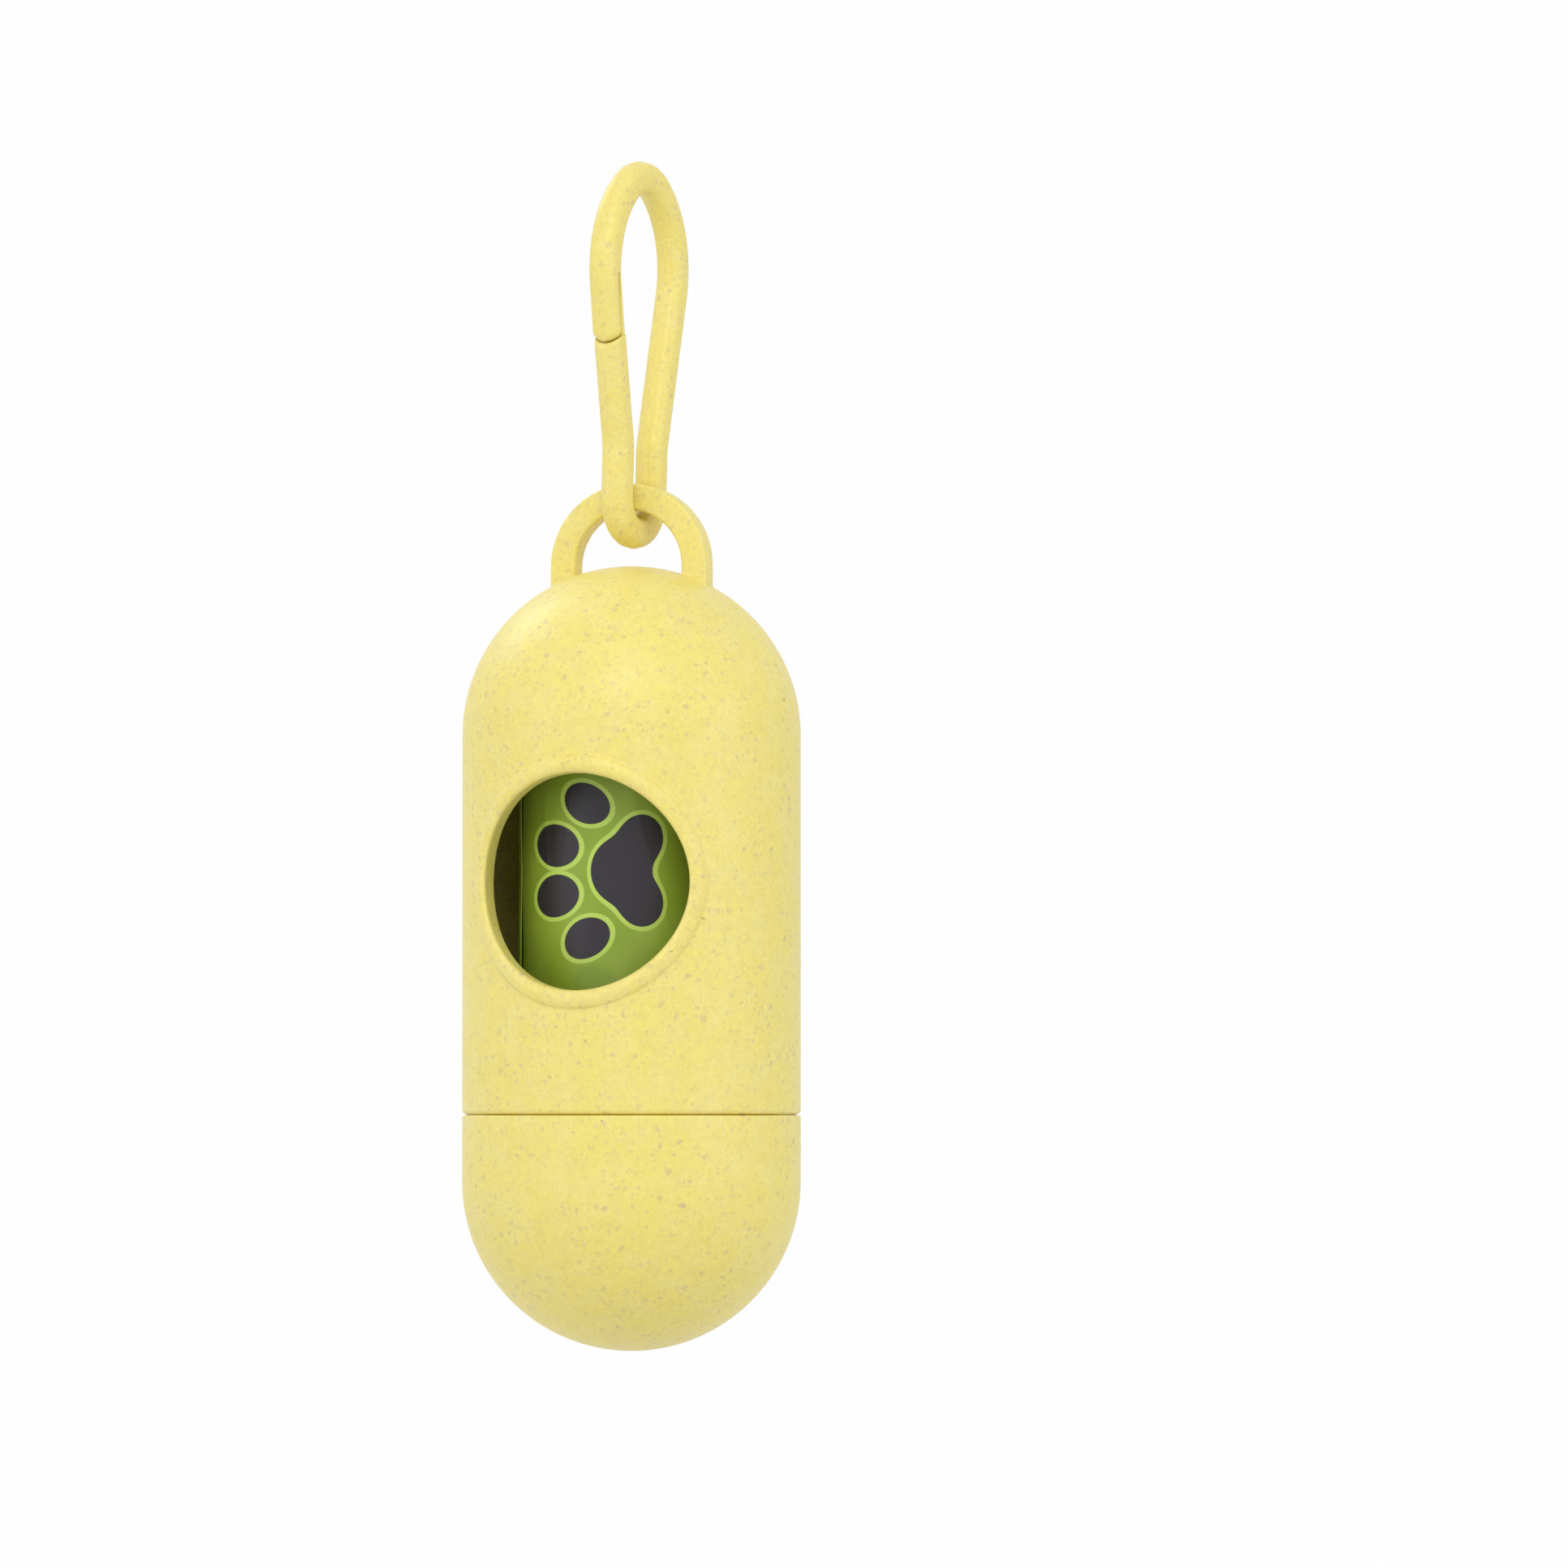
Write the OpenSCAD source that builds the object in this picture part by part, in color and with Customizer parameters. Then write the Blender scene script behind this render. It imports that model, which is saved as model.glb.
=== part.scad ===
// Capsule dispenser for rolls of dog waste bags, with a leash clip.
//
// The capsule is two mouldings: a case with a domed top and a bail, and a domed cap
// that screws onto its neck. Bags are pulled out through a round opening in the front.
// A one-piece snap clip goes through the bail and holds the dispenser on a leash.
//
// Units are millimetres. +Z is up along the axis of the capsule, with z = 0 at its
// lowest point, and the opening faces -Y.

/* [Case] */
// Outside diameter of the capsule
case_d = 40; // [38:0.5:44]
// Height of the closed capsule
case_h = 92.7; // [92:0.1:104]
// Thickness of the moulded walls
wall = 1.8; // [1.5:0.1:2]
// Height of the seam between the case and the cap
seam_z = 27.9; // [27:0.1:30]
// Chamfer on the lower edge of the case, at the seam
seam_chamfer = 0.7; // [0.3:0.1:1]
// Play between the top of the cap and the case
seam_gap = 0.1; // [0.05:0.05:0.3]

/* [Opening] */
// Diameter of the opening that the bags come out of
opening_d = 25.3; // [20:0.1:27]
// Height of its centre
opening_z = 55; // [52:0.1:58]
// Width of the raised bead around it
bead_w = 2.15; // [1.5:0.05:2.8]
// How far the bead stands proud of the case
bead_proud = 0.6; // [0.4:0.1:1]
// How far the rim of the opening stands into the case
rim_in = 0.4; // [0:0.1:1]

/* [Bail] */
// Outside width of the bail on the dome
bail_w = 19.5; // [18:0.1:22]
// Width of its band, seen from the front
bail_band = 3.1; // [2.8:0.1:3.4]
// Thickness of its band, front to back
bail_t = 3; // [2.6:0.1:3.2]
// Rounding of its edges
bail_round = 0.4; // [0.3:0.1:1.2]

/* [Screw thread] */
// Outside radius of the neck under the thread
neck_r = 17; // [16.8:0.1:17.1]
// Thickness of the neck
neck_wall = 0.9; // [0.8:0.1:1.2]
// Length of the neck below the seam
neck_l = 6.9; // [6.5:0.1:7.5]
// Rise of the thread in one turn
pitch = 4; // [3.8:0.1:4.2]
// Height of the thread above the wall that it stands on
thread_depth = 0.8; // [0.6:0.05:0.85]

/* [Spindle] */
// Height of the spindle's lower end, inside the core of the roll
spindle_z = 64.5; // [60:0.1:68]
// Diameter of the spindle at its lower end
spindle_tip_d = 2.4; // [2:0.1:3]
// Diameter of the spindle where it leaves the dome
spindle_root_d = 3.4; // [3:0.1:5]

/* [Clip] */
// Height of the top of the clip
clip_top = 140.7; // [139:0.1:144]
// Width of the strand in the plane of the clip
strand_w = 3.8; // [3.4:0.1:4]
// Thickness of the strand, square to the plane of the clip
strand_t = 3.4; // [3:0.1:3.6]
// Rounding of the strand's edges
strand_round = 1.35; // [0.9:0.05:1.5]
// Widest outside width of the clip
clip_w = 20.4; // [20:0.1:22]
// Depth of the widest place below the top
clip_widest = 12.8; // [12.5:0.1:13.5]
// Radius of the bend at the top, on the middle of the strand
bend_r = 5.4; // [5:0.1:7]
// Slope of the straight sides from upright
side_slope = 12; // [11:0.5:13]
// Radius of the eye around the bail, on the middle of the strand
eye_r = 4.1; // [4:0.05:4.3]
// Height of the middle of the eye
eye_z = 100.8; // [100.6:0.1:101]
// Turn of the clip about the upright axis, from square to the bail
clip_yaw = 9.3; // [0:0.1:10]
// Lean of the clip to the side, from the feet of the bail
clip_lean = 1.4; // [0:0.1:2]
// Height of the place where the gate flexes
flex_z = 107.5; // [107:0.1:109]
// Height of the end of the nose
nose_z = 119.1; // [118:0.1:121]
// Height of the gate's tip, inside the nose
gate_tip_z = 127; // [125:0.1:128]

/* [Bag roll] */
// Outside diameter of the wound bags
roll_d = 26.6; // [24:0.1:27]
// Length of the roll
roll_l = 64.3; // [62:0.1:64.5]
// Outside diameter of the core
core_d = 10.5; // [9:0.1:12]
// Wall of the core
core_wall = 1; // [0.6:0.1:1.5]
// How far the core stands out of the top of the roll
core_proud = 0.4; // [0:0.1:0.6]
// Thickness of the first bag as it lies folded around the roll
bag_t = 0.3; // [0.2:0.05:0.4]

/* [Hidden] */
$fn = 96;

shell_colour = [0.95, 0.90, 0.56];
clip_colour = [0.94, 0.88, 0.53];
bag_colour = [0.54, 0.63, 0.18];
core_colour = [0.55, 0.52, 0.45];

// The capsule: its two domes have the radius of its side.
case_r = case_d / 2;
inner_r = case_r - wall;
dome_z = case_h - case_r;
cap_dome_z = case_r;
cap_top = seam_z - seam_gap;
sink = 0.6;

// The neck inside the cap, and its thread.
neck_inner_r = neck_r - neck_wall;
neck_z = seam_z - neck_l;
shoulder_h = 2;
thread_root_w = 1.6;
thread_crest_w = 0.9;
thread_low = neck_z + 1.4;
thread_steps = 36;

// The opening and its bead, which follows the side of the case.
opening_r = opening_d / 2;
bead_r = opening_r + bead_w;
bead_step = 0.45;

// The bail: half a ring level with the top of the dome, on two straight legs.
bail_r = (bail_w - bail_band) / 2;
bail_foot_z = case_h - 2.8;

// The clip, in its own plane: u is across it, towards the gate, and z is up.
bend_z = clip_top - strand_w / 2 - bend_r;
widest_u = (clip_w - strand_w) / 2;
widest_z = clip_top - clip_widest;
bend_drop = bend_z - widest_z;
flank_r = (widest_u * widest_u + bend_drop * bend_drop - bend_r * bend_r)
          / (2 * (widest_u - bend_r));
flank_u = widest_u - flank_r;
flank_top_angle = atan2(bend_drop, -flank_u);
side_top_u = flank_u + flank_r * cos(side_slope);
side_top_z = widest_z - flank_r * sin(side_slope);
waist_r = 8;
side_foot_z = side_top_z - (side_top_u - eye_r) / tan(side_slope);
waist_z = side_foot_z - waist_r * tan(side_slope / 2);
waist_u = eye_r + waist_r;
flex_u = side_top_u - (side_top_z - flex_z) * tan(side_slope);
flex_play = 0.15;

// The gate and the nose lap over each other. Both are drawn from the place where the
// gate flexes: s runs up along the side of the clip, and n is square to it, outwards.
nose_s = (nose_z - flex_z) / cos(side_slope);
tip_s = (gate_tip_z - flex_z) / cos(side_slope);
lap_play = 0.25;
shoulder_n = -0.85;
tip_outer_n = -1.62;
tip_inner_n = -2.1;

// The roll stands in the dome of the cap, a little above it.
roll_r = roll_d / 2;
core_r = core_d / 2;
roll_play = 0.3;
roll_z = cap_dome_z - sqrt(pow(inner_r, 2) - pow(roll_r, 2)) + roll_play;
core_play = 0.05;
roll_edge = 0.5;
flap_angle = 34;

// A point on a helix thread's section: radius r, turned by angle, at height z.
function on_helix(r, angle, z) = [r * cos(angle), r * sin(angle), z];

// One section of a thread: from its root, sunk in the wall, to its crest.
function thread_ring(root_r, crest_r, angle, z) = [
    on_helix(root_r, angle, z - thread_root_w / 2),
    on_helix(crest_r, angle, z - thread_crest_w / 2),
    on_helix(crest_r, angle, z + thread_crest_w / 2),
    on_helix(root_r, angle, z + thread_root_w / 2)
];

// One turn of thread, standing on a wall, with run-outs at both ends. The section's
// corners are listed the other way round on a thread that points inwards.
module thread(root_r, wall_r, crest_r, start_angle) {
    run_out = 5;
    rings = [for (i = [0 : thread_steps])
        let (turn = i / thread_steps)
        let (lift = min(1, i / run_out, (thread_steps - i) / run_out))
        thread_ring(root_r, wall_r + (crest_r - wall_r) * lift,
                    start_angle + 360 * turn * 0.98, thread_low + pitch * turn)];
    points = [for (ring = rings) each ring];
    sides = [for (i = [0 : thread_steps - 1], k = [0 : 3])
        let (a = 4 * i + k, b = 4 * i + (k + 1) % 4)
        each [[a, b, b + 4], [a, b + 4, a + 4]]];
    last = 4 * thread_steps;
    ends = [[3, 2, 1], [3, 1, 0], [last, last + 1, last + 2], [last, last + 2, last + 3]];
    faces = concat(sides, ends);
    outward = crest_r > wall_r;
    polyhedron(points, [for (f = faces) outward ? f : [f[2], f[1], f[0]]]);
}

// A rectangle with round corners, centred.
module rounded_bar(w, t, r) {
    square([w - 2 * r, t], center = true);
    square([w, t - 2 * r], center = true);
    for (x = [-1, 1], y = [-1, 1])
        translate([x * (w / 2 - r), y * (t / 2 - r)]) circle(r);
}

// ---- Case ----

// Half section of the case: dome, side, shoulder and neck.
module case_section() {
    difference() {
        union() {
            translate([0, dome_z]) circle(case_r);
            polygon([[0, neck_z], [neck_r - 0.3, neck_z], [neck_r, neck_z + 0.3],
                     [neck_r, seam_z], [case_r - seam_chamfer, seam_z],
                     [case_r, seam_z + seam_chamfer], [case_r, dome_z], [0, dome_z]]);
        }
        translate([0, dome_z]) circle(inner_r);
        polygon([[0, neck_z - 1], [neck_inner_r, neck_z - 1], [neck_inner_r, seam_z],
                 [inner_r, seam_z + shoulder_h], [inner_r, dome_z], [0, dome_z]]);
        translate([-2 * case_r, -case_h]) square([2 * case_r, 3 * case_h]);
    }
}

// A drum along Y, centred on the opening, that reaches through the front wall.
module front_drum(r) {
    translate([0, -case_r / 3, opening_z]) rotate([90, 0, 0]) cylinder(h = case_r, r = r);
}

// The raised bead: low steps at its foot and at the opening, and the full height between
// them. It goes through the wall and stands into the case as a rim.
module bead() {
    for (step = [[bead_r, opening_r / 2, bead_proud / 2],
                 [bead_r - bead_step, opening_r + bead_step, bead_proud]])
        intersection() {
            difference() {
                front_drum(step[0]);
                front_drum(step[1]);
            }
            translate([0, 0, opening_z - case_r])
                difference() {
                    cylinder(h = case_d, r = case_r + step[2]);
                    cylinder(h = case_d, r = inner_r - rim_in);
                }
        }
}

module bail() {
    translate([0, 0, case_h]) rotate([90, 0, 0])
        rotate_extrude(angle = 180)
            translate([bail_r, 0]) rounded_bar(bail_band, bail_t, bail_round);
    for (side = [-1, 1])
        translate([side * bail_r, 0, bail_foot_z])
            linear_extrude(case_h - bail_foot_z) rounded_bar(bail_band, bail_t, bail_round);
}

// The pin that hangs from the dome and keeps the top of the roll in the middle.
module spindle() {
    top_z = dome_z + inner_r + sink;
    translate([0, 0, spindle_z])
        cylinder(h = top_z - spindle_z, d1 = spindle_tip_d, d2 = spindle_root_d);
}

module case_body() {
    color(shell_colour)
        union() {
            difference() {
                union() {
                    rotate_extrude() case_section();
                    bead();
                }
                front_drum(opening_r);
            }
            bail();
            spindle();
            thread(neck_r - neck_wall / 2, neck_r, neck_r + thread_depth, 0);
        }
}

// ---- Cap ----

// Half section of the cap: a dome with a short straight side.
module cap_section() {
    difference() {
        union() {
            translate([0, cap_dome_z]) circle(case_r);
            translate([0, cap_dome_z]) square([case_r, cap_top - cap_dome_z]);
        }
        translate([0, cap_dome_z]) circle(inner_r);
        translate([0, cap_dome_z]) square([inner_r, cap_top]);
        translate([0, cap_top]) square([case_d, case_d]);
        translate([-2 * case_r, -case_h]) square([2 * case_r, 3 * case_h]);
    }
}

module screw_cap() {
    color(shell_colour)
        union() {
            rotate_extrude() cap_section();
            thread(inner_r + sink, inner_r, inner_r - thread_depth, 180);
        }
}

// ---- Clip ----

// Puts what is drawn in the plane of the clip, (u, z), in its place.
module in_clip_plane() {
    translate([0, 0, bail_foot_z]) rotate([0, clip_lean, 0]) translate([0, 0, -bail_foot_z])
        rotate([90, 0, -90 - clip_yaw]) children();
}

module strand_section() {
    rounded_bar(strand_w, strand_t, strand_round);
}

// A straight stretch of the strand from a point, in a direction in the clip's plane.
module strand_run(start, direction, length) {
    translate(start) rotate([0, 0, direction]) rotate([90, 0, 90])
        linear_extrude(length) strand_section();
}

// Draws in (s, n), from the place where the gate flexes.
module along_side() {
    translate([flex_u, flex_z]) rotate([0, 0, 90 - side_slope]) mirror([0, 1, 0]) children();
}

// Stations along the middle of the strand: [u, z, heading]. A bend about a centre runs
// from one angle to another, and is clockwise where the second is the smaller.
function bend(centre, r, from, to, steps) = [
    for (i = [0 : steps])
        let (angle = from + (to - from) * i / steps)
        [centre[0] + r * cos(angle), centre[1] + r * sin(angle), angle + 90 * sign(to - from)]
];

// Stations down a straight stretch of the nose, closer together at its round end.
function nose_run(steps) = [
    for (i = [1 : steps])
        let (drop = (side_top_z - nose_z) * sin(90 * i / steps))
        [side_top_u - drop * tan(side_slope), side_top_z - drop, 270 - side_slope]
];

// The whole strand, from the gate's root down round the eye, up the back, over the bend
// at the top and down to the nose.
function strand_path() = concat(
    [[flex_u, flex_z, 270 - side_slope]],
    bend([waist_u, waist_z], waist_r, 180 - side_slope, 180, 3),
    bend([0, eye_z], eye_r, 0, -180, 20),
    bend([-waist_u, waist_z], waist_r, 0, side_slope, 3),
    bend([-flank_u, widest_z], flank_r, 180 + side_slope, 180 - flank_top_angle, 12),
    bend([0, bend_z], bend_r, 180 - flank_top_angle, flank_top_angle, 20),
    bend([flank_u, widest_z], flank_r, flank_top_angle, -side_slope, 14),
    nose_run(10)
);

// How far the strand's inner side lies from its middle: on the nose it is cut back for
// the tip of the gate.
function inner_side(u, z) = u < 0 || z < nose_z - 1 || z > gate_tip_z + 1.2
    ? -strand_w / 2
    : lookup(z, [[nose_z, shoulder_n + lap_play], [gate_tip_z + 0.4, tip_outer_n + 2 * lap_play],
                 [gate_tip_z + 1.2, -strand_w / 2]]);

// Half the strand's thickness, which closes in a half circle at the end of the nose.
function half_thickness(u, z) =
    let (half = strand_t / 2, left = (z - nose_z) / cos(side_slope))
    u < 0 || z < nose_z - 1 || left > half ? half : max(0.25, sqrt(left * (2 * half - left)));

// The strand's section at a station: a rectangle with round corners, four points each.
function strand_ring(station) =
    let (u = station[0], z = station[1], heading = station[2])
    let (low = inner_side(u, z), high = strand_w / 2, half = half_thickness(u, z))
    let (r = min(strand_round, half, (high - low) / 2))
    [for (corner = [0 : 3], k = [0 : 3])
        let (angle = 90 * corner + 30 * k)
        let (n = (cos(90 * corner + 45) > 0 ? high - r : low + r) + r * cos(angle))
        let (t = (sin(90 * corner + 45) > 0 ? half - r : r - half) + r * sin(angle))
        [u - n * sin(heading), z + n * cos(heading), t]];

module strand() {
    sides = 16;
    path = strand_path();
    last = sides * (len(path) - 1);
    points = [for (station = path) each strand_ring(station)];
    faces = [for (i = [0 : len(path) - 2], k = [0 : sides - 1])
        let (a = sides * i + k, b = sides * i + (k + 1) % sides)
        each [[a, b + sides, b], [a, a + sides, b + sides]]];
    ends = [for (k = [1 : sides - 2])
        each [[0, k, k + 1], [last, last + k + 1, last + k]]];
    polyhedron(points, concat(faces, ends));
}

module clip_hook() {
    color(clip_colour) in_clip_plane()
        difference() {
            strand();
            translate([flex_u, flex_z, -strand_t])
                cylinder(h = 2 * strand_t, r = strand_w / 2 + flex_play);
        }
}

// The gate: it flexes inwards at its root, and its tip rests inside the nose.
module clip_gate() {
    straight_s = nose_s - lap_play;
    tongue_sink = 3;
    color(clip_colour) in_clip_plane()
        union() {
            translate([flex_u, flex_z]) rotate([0, 0, 180 - side_slope])
                rotate_extrude(angle = 180)
                    intersection() {
                        strand_section();
                        translate([0, -strand_t]) square([strand_w, 2 * strand_t]);
                    }
            strand_run([flex_u, flex_z], 90 - side_slope, straight_s);
            along_side()
                translate([0, 0, -strand_t / 2 + strand_round / 3])
                    linear_extrude(strand_t - 2 * strand_round / 3)
                        polygon([[straight_s - tongue_sink, -strand_w / 2 + 0.1],
                                 [tip_s, tip_inner_n], [tip_s, tip_outer_n],
                                 [straight_s - 0.5, shoulder_n],
                                 [straight_s - tongue_sink, shoulder_n]]);
        }
}

// ---- Bag roll ----

module roll_core() {
    color(core_colour)
        translate([0, 0, roll_z + core_proud])
            difference() {
                cylinder(h = roll_l, r = core_r);
                translate([0, 0, -1]) cylinder(h = roll_l + 2, r = core_r - core_wall);
            }
}

// The wound bags under the first one, with edges that are soft from winding.
module wound_bags() {
    outer = roll_r - bag_t;
    inner = core_r + core_play;
    color(bag_colour)
        translate([0, 0, roll_z])
            rotate_extrude()
                polygon([[inner, 0], [outer - roll_edge, 0], [outer, roll_edge],
                         [outer, roll_l - roll_edge], [outer - roll_edge, roll_l],
                         [inner, roll_l]]);
}

// The first bag: one turn of folded film around the roll, with its loose end on top.
module first_bag() {
    flap_inset = 1.5;
    color(bag_colour)
        translate([0, 0, roll_z + roll_edge])
            union() {
                difference() {
                    cylinder(h = roll_l - 2 * roll_edge, r = roll_r);
                    translate([0, 0, -1]) cylinder(h = roll_l + 2, r = roll_r - bag_t);
                }
                translate([0, 0, flap_inset]) rotate([0, 0, 180])
                    rotate_extrude(angle = flap_angle)
                        translate([roll_r - bag_t / 2, 0])
                            square([bag_t, roll_l - 2 * (roll_edge + flap_inset)]);
            }
}

case_body();
screw_cap();
clip_hook();
clip_gate();
roll_core();
wound_bags();
first_bag();
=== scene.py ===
"""Looks of a capsule dispenser for rolls of dog waste bags, with a leash clip.

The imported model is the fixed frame. Each visible piece is a surface worked out here, in
millimetres and in the frame's axes: +Z up the capsule, the opening facing -Y. Meshes
are turned into metres when they are built.
"""
import logging
import math
from dataclasses import dataclass
from enum import Enum
from typing import Any, Sequence

import bmesh
import bpy
import numpy as np
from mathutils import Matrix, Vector


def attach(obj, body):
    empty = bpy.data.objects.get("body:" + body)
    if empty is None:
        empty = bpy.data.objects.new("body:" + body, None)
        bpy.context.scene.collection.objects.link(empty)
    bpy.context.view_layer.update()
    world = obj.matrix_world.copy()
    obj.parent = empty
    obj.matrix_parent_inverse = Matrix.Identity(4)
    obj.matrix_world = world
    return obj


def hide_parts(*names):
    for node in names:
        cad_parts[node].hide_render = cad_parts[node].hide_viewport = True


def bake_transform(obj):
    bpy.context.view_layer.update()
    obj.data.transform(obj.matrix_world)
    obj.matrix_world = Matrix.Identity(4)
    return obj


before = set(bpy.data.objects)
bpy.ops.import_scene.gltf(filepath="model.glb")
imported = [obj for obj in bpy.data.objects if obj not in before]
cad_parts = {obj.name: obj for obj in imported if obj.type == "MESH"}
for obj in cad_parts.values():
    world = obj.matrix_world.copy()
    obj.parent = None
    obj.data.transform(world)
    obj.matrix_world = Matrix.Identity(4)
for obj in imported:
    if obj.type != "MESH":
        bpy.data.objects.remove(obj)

MM = 0.001
TURN = 2 * math.pi
log = logging.getLogger("dispenser")


class Body(Enum):
    """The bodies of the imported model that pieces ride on."""

    CLIP = "clip"
    GATE = "gate"
    CASE = "case"
    CAP = "cap"
    CORE = "core"
    BAGS = "bags"


class Slot(Enum):
    """The material slots of the record."""

    SHELL = "speckled_shell"
    CLIP = "clip_plastic"
    CORE = "core_card"
    FILM = "bag_film"


# ---------------------------------------------------------------------------
# Meshes
# ---------------------------------------------------------------------------


def around(radius: np.ndarray | float, angle: np.ndarray, z: np.ndarray) -> np.ndarray:
    """Points at a radius and height, with the angle counted from the front to +X.

    Args:
        radius: Distance from the capsule's axis.
        angle: Angle from -Y, in radians, positive towards +X.
        z: Height.

    Returns:
        The points, with x, y and z on the last axis.
    """
    radius, angle, z = np.broadcast_arrays(radius, angle, z)
    return np.stack([radius * np.sin(angle), -radius * np.cos(angle), z], axis=-1)


def arc(centre: Sequence[float], radius: float, start: float, end: float, steps: int) -> np.ndarray:
    """Points on an arc in a plane, from one angle in degrees to another."""
    angle = np.radians(np.linspace(start, end, steps + 1))
    return np.stack([centre[0] + radius * np.cos(angle),
                     centre[1] + radius * np.sin(angle)], axis=1)


def smooth_step(value: np.ndarray, low: float, high: float) -> np.ndarray:
    """Rises from 0 at low to 1 at high, level at both ends."""
    t = np.clip((value - low) / (high - low), 0, 1)
    return t * t * (3 - 2 * t)


class Draft:
    """A mesh being put together from grids of points, in millimetres."""

    def __init__(self) -> None:
        """Starts with no points and no faces."""
        self._points: list[np.ndarray] = []
        self._faces: list[tuple[int, ...]] = []
        self._count = 0
        self._flat_map: list[np.ndarray] = []

    def points(self, xyz: np.ndarray, flat: np.ndarray | None = None) -> np.ndarray:
        """Adds points.

        Args:
            xyz: Points, with x, y and z on the last axis.
            flat: Their places on the piece's own flat map, if it has one.

        Returns:
            The points' indices, laid out as the points are.
        """
        layout = xyz.shape[:-1]
        index = self._count + np.arange(int(np.prod(layout))).reshape(layout)
        self._points.append(xyz.reshape(-1, 3))
        self._flat_map.append(np.zeros((index.size, 2)) if flat is None else flat.reshape(-1, 2))
        self._count += index.size
        return index

    def skin(self, index: np.ndarray, closed: bool = True, keep: np.ndarray | None = None) -> None:
        """Joins a grid of points with faces.

        Args:
            index: Rows of point indices.
            closed: Whether each row runs round to its own start.
            keep: Which cells get a face; all of them if left out.
        """
        turned = np.roll(index, -1, axis=1) if closed else index[:, 1:]
        first = index if closed else index[:, :-1]
        cells = np.stack([first[:-1], first[1:], turned[1:], turned[:-1]], axis=-1)
        chosen = cells.reshape(-1, 4) if keep is None else cells[keep]
        self._faces.extend(map(tuple, chosen.tolist()))

    def fan(self, ring: np.ndarray, tip: Sequence[float]) -> None:
        """Closes a ring of points with a fan of faces to a point."""
        centre = int(self.points(np.array([tip], float))[0])
        following = np.roll(ring, -1)
        self._faces.extend((int(a), int(b), centre) for a, b in zip(ring, following))

    def build(self, name: str, crease: float = 38) -> bpy.types.Object:
        """Makes the object, in metres and smooth but for its creases, facing outwards.

        Args:
            name: The piece's name.
            crease: Angle in degrees past which an edge stays sharp.

        Returns:
            The new object, linked to the scene.
        """
        mesh = bpy.data.meshes.new(name)
        mesh.from_pydata((np.concatenate(self._points) * MM).tolist(), [], self._faces)
        flat = np.concatenate(self._flat_map)
        if flat.any():
            loops = np.zeros(len(mesh.loops), int)
            mesh.loops.foreach_get("vertex_index", loops)
            mesh.uv_layers.new(name="FlatMap").data.foreach_set("uv", flat[loops].ravel())
        work = bmesh.new()
        work.from_mesh(mesh)
        loose = [vertex for vertex in work.verts if not vertex.link_faces]
        bmesh.ops.delete(work, geom=loose, context="VERTS")
        bmesh.ops.recalc_face_normals(work, faces=work.faces)
        work.to_mesh(mesh)
        work.free()
        mesh.polygons.foreach_set("use_smooth", np.ones(len(mesh.polygons), bool))
        mesh.set_sharp_from_angle(angle=math.radians(crease))
        piece = bpy.data.objects.new(name, mesh)
        bpy.context.scene.collection.objects.link(piece)
        log.info("%s: %d faces", name, len(mesh.polygons))
        return piece


def rounded_ring(low: np.ndarray, high: np.ndarray, half: np.ndarray, rounding: float,
                 line: float = 0.0, per_corner: int = 7) -> tuple[np.ndarray, np.ndarray]:
    """Sections of a flat bar: rectangles with quarter-round corners.

    Args:
        low: Lower limit of each section across the bar.
        high: Upper limit of each section across the bar.
        half: Half of each section's thickness.
        rounding: Radius of the corners, less where the section is too thin for it.
        line: Height of a parting line in the middle of both ends of the section. The
            rest of the section is drawn in by as much.
        per_corner: Points on each corner.

    Returns:
        The places across and the places through the bar, one row per section.
    """
    corner = np.repeat(np.arange(4), per_corner)
    angle = np.radians(90 * corner + np.tile(np.linspace(0, 90, per_corner), 4))
    right = np.cos(np.radians(90 * corner + 45)) > 0
    above = np.sin(np.radians(90 * corner + 45)) > 0
    low, high, half = (value[:, None] for value in (low + line, high - line, half))
    radius = np.minimum(rounding, 0.96 * np.minimum(half, (high - low) / 2))
    across = np.where(right, high - radius, low + radius) + radius * np.cos(angle)
    through = np.where(above, half - radius, radius - half) + radius * np.sin(angle)
    if line:
        ridge = np.array([-0.15, -0.05, 0.05, 0.15]) * np.minimum(1, half)
        rise = np.array([0, line, line, 0])
        far = high + rise
        near = low - rise
        first, second = np.split(across, [2 * per_corner], axis=1)
        across = np.concatenate([far[:, 2:], first, near, second, far[:, :2]], axis=1)
        first, second = np.split(through, [2 * per_corner], axis=1)
        through = np.concatenate([ridge[:, 2:], first, ridge[:, ::-1], second, ridge[:, :2]], axis=1)
    return across, through


def dress(piece: bpy.types.Object, body: Body, slot: Slot, material: bpy.types.Material,
          *nodes: str) -> bpy.types.Object:
    """Gives a rigid piece its material and its body, and hides the nodes it stands for."""
    piece.data.materials.append(material)
    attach(piece, body.value)
    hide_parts(*nodes)
    return piece


# ---------------------------------------------------------------------------
# Shader maths
# ---------------------------------------------------------------------------


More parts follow.
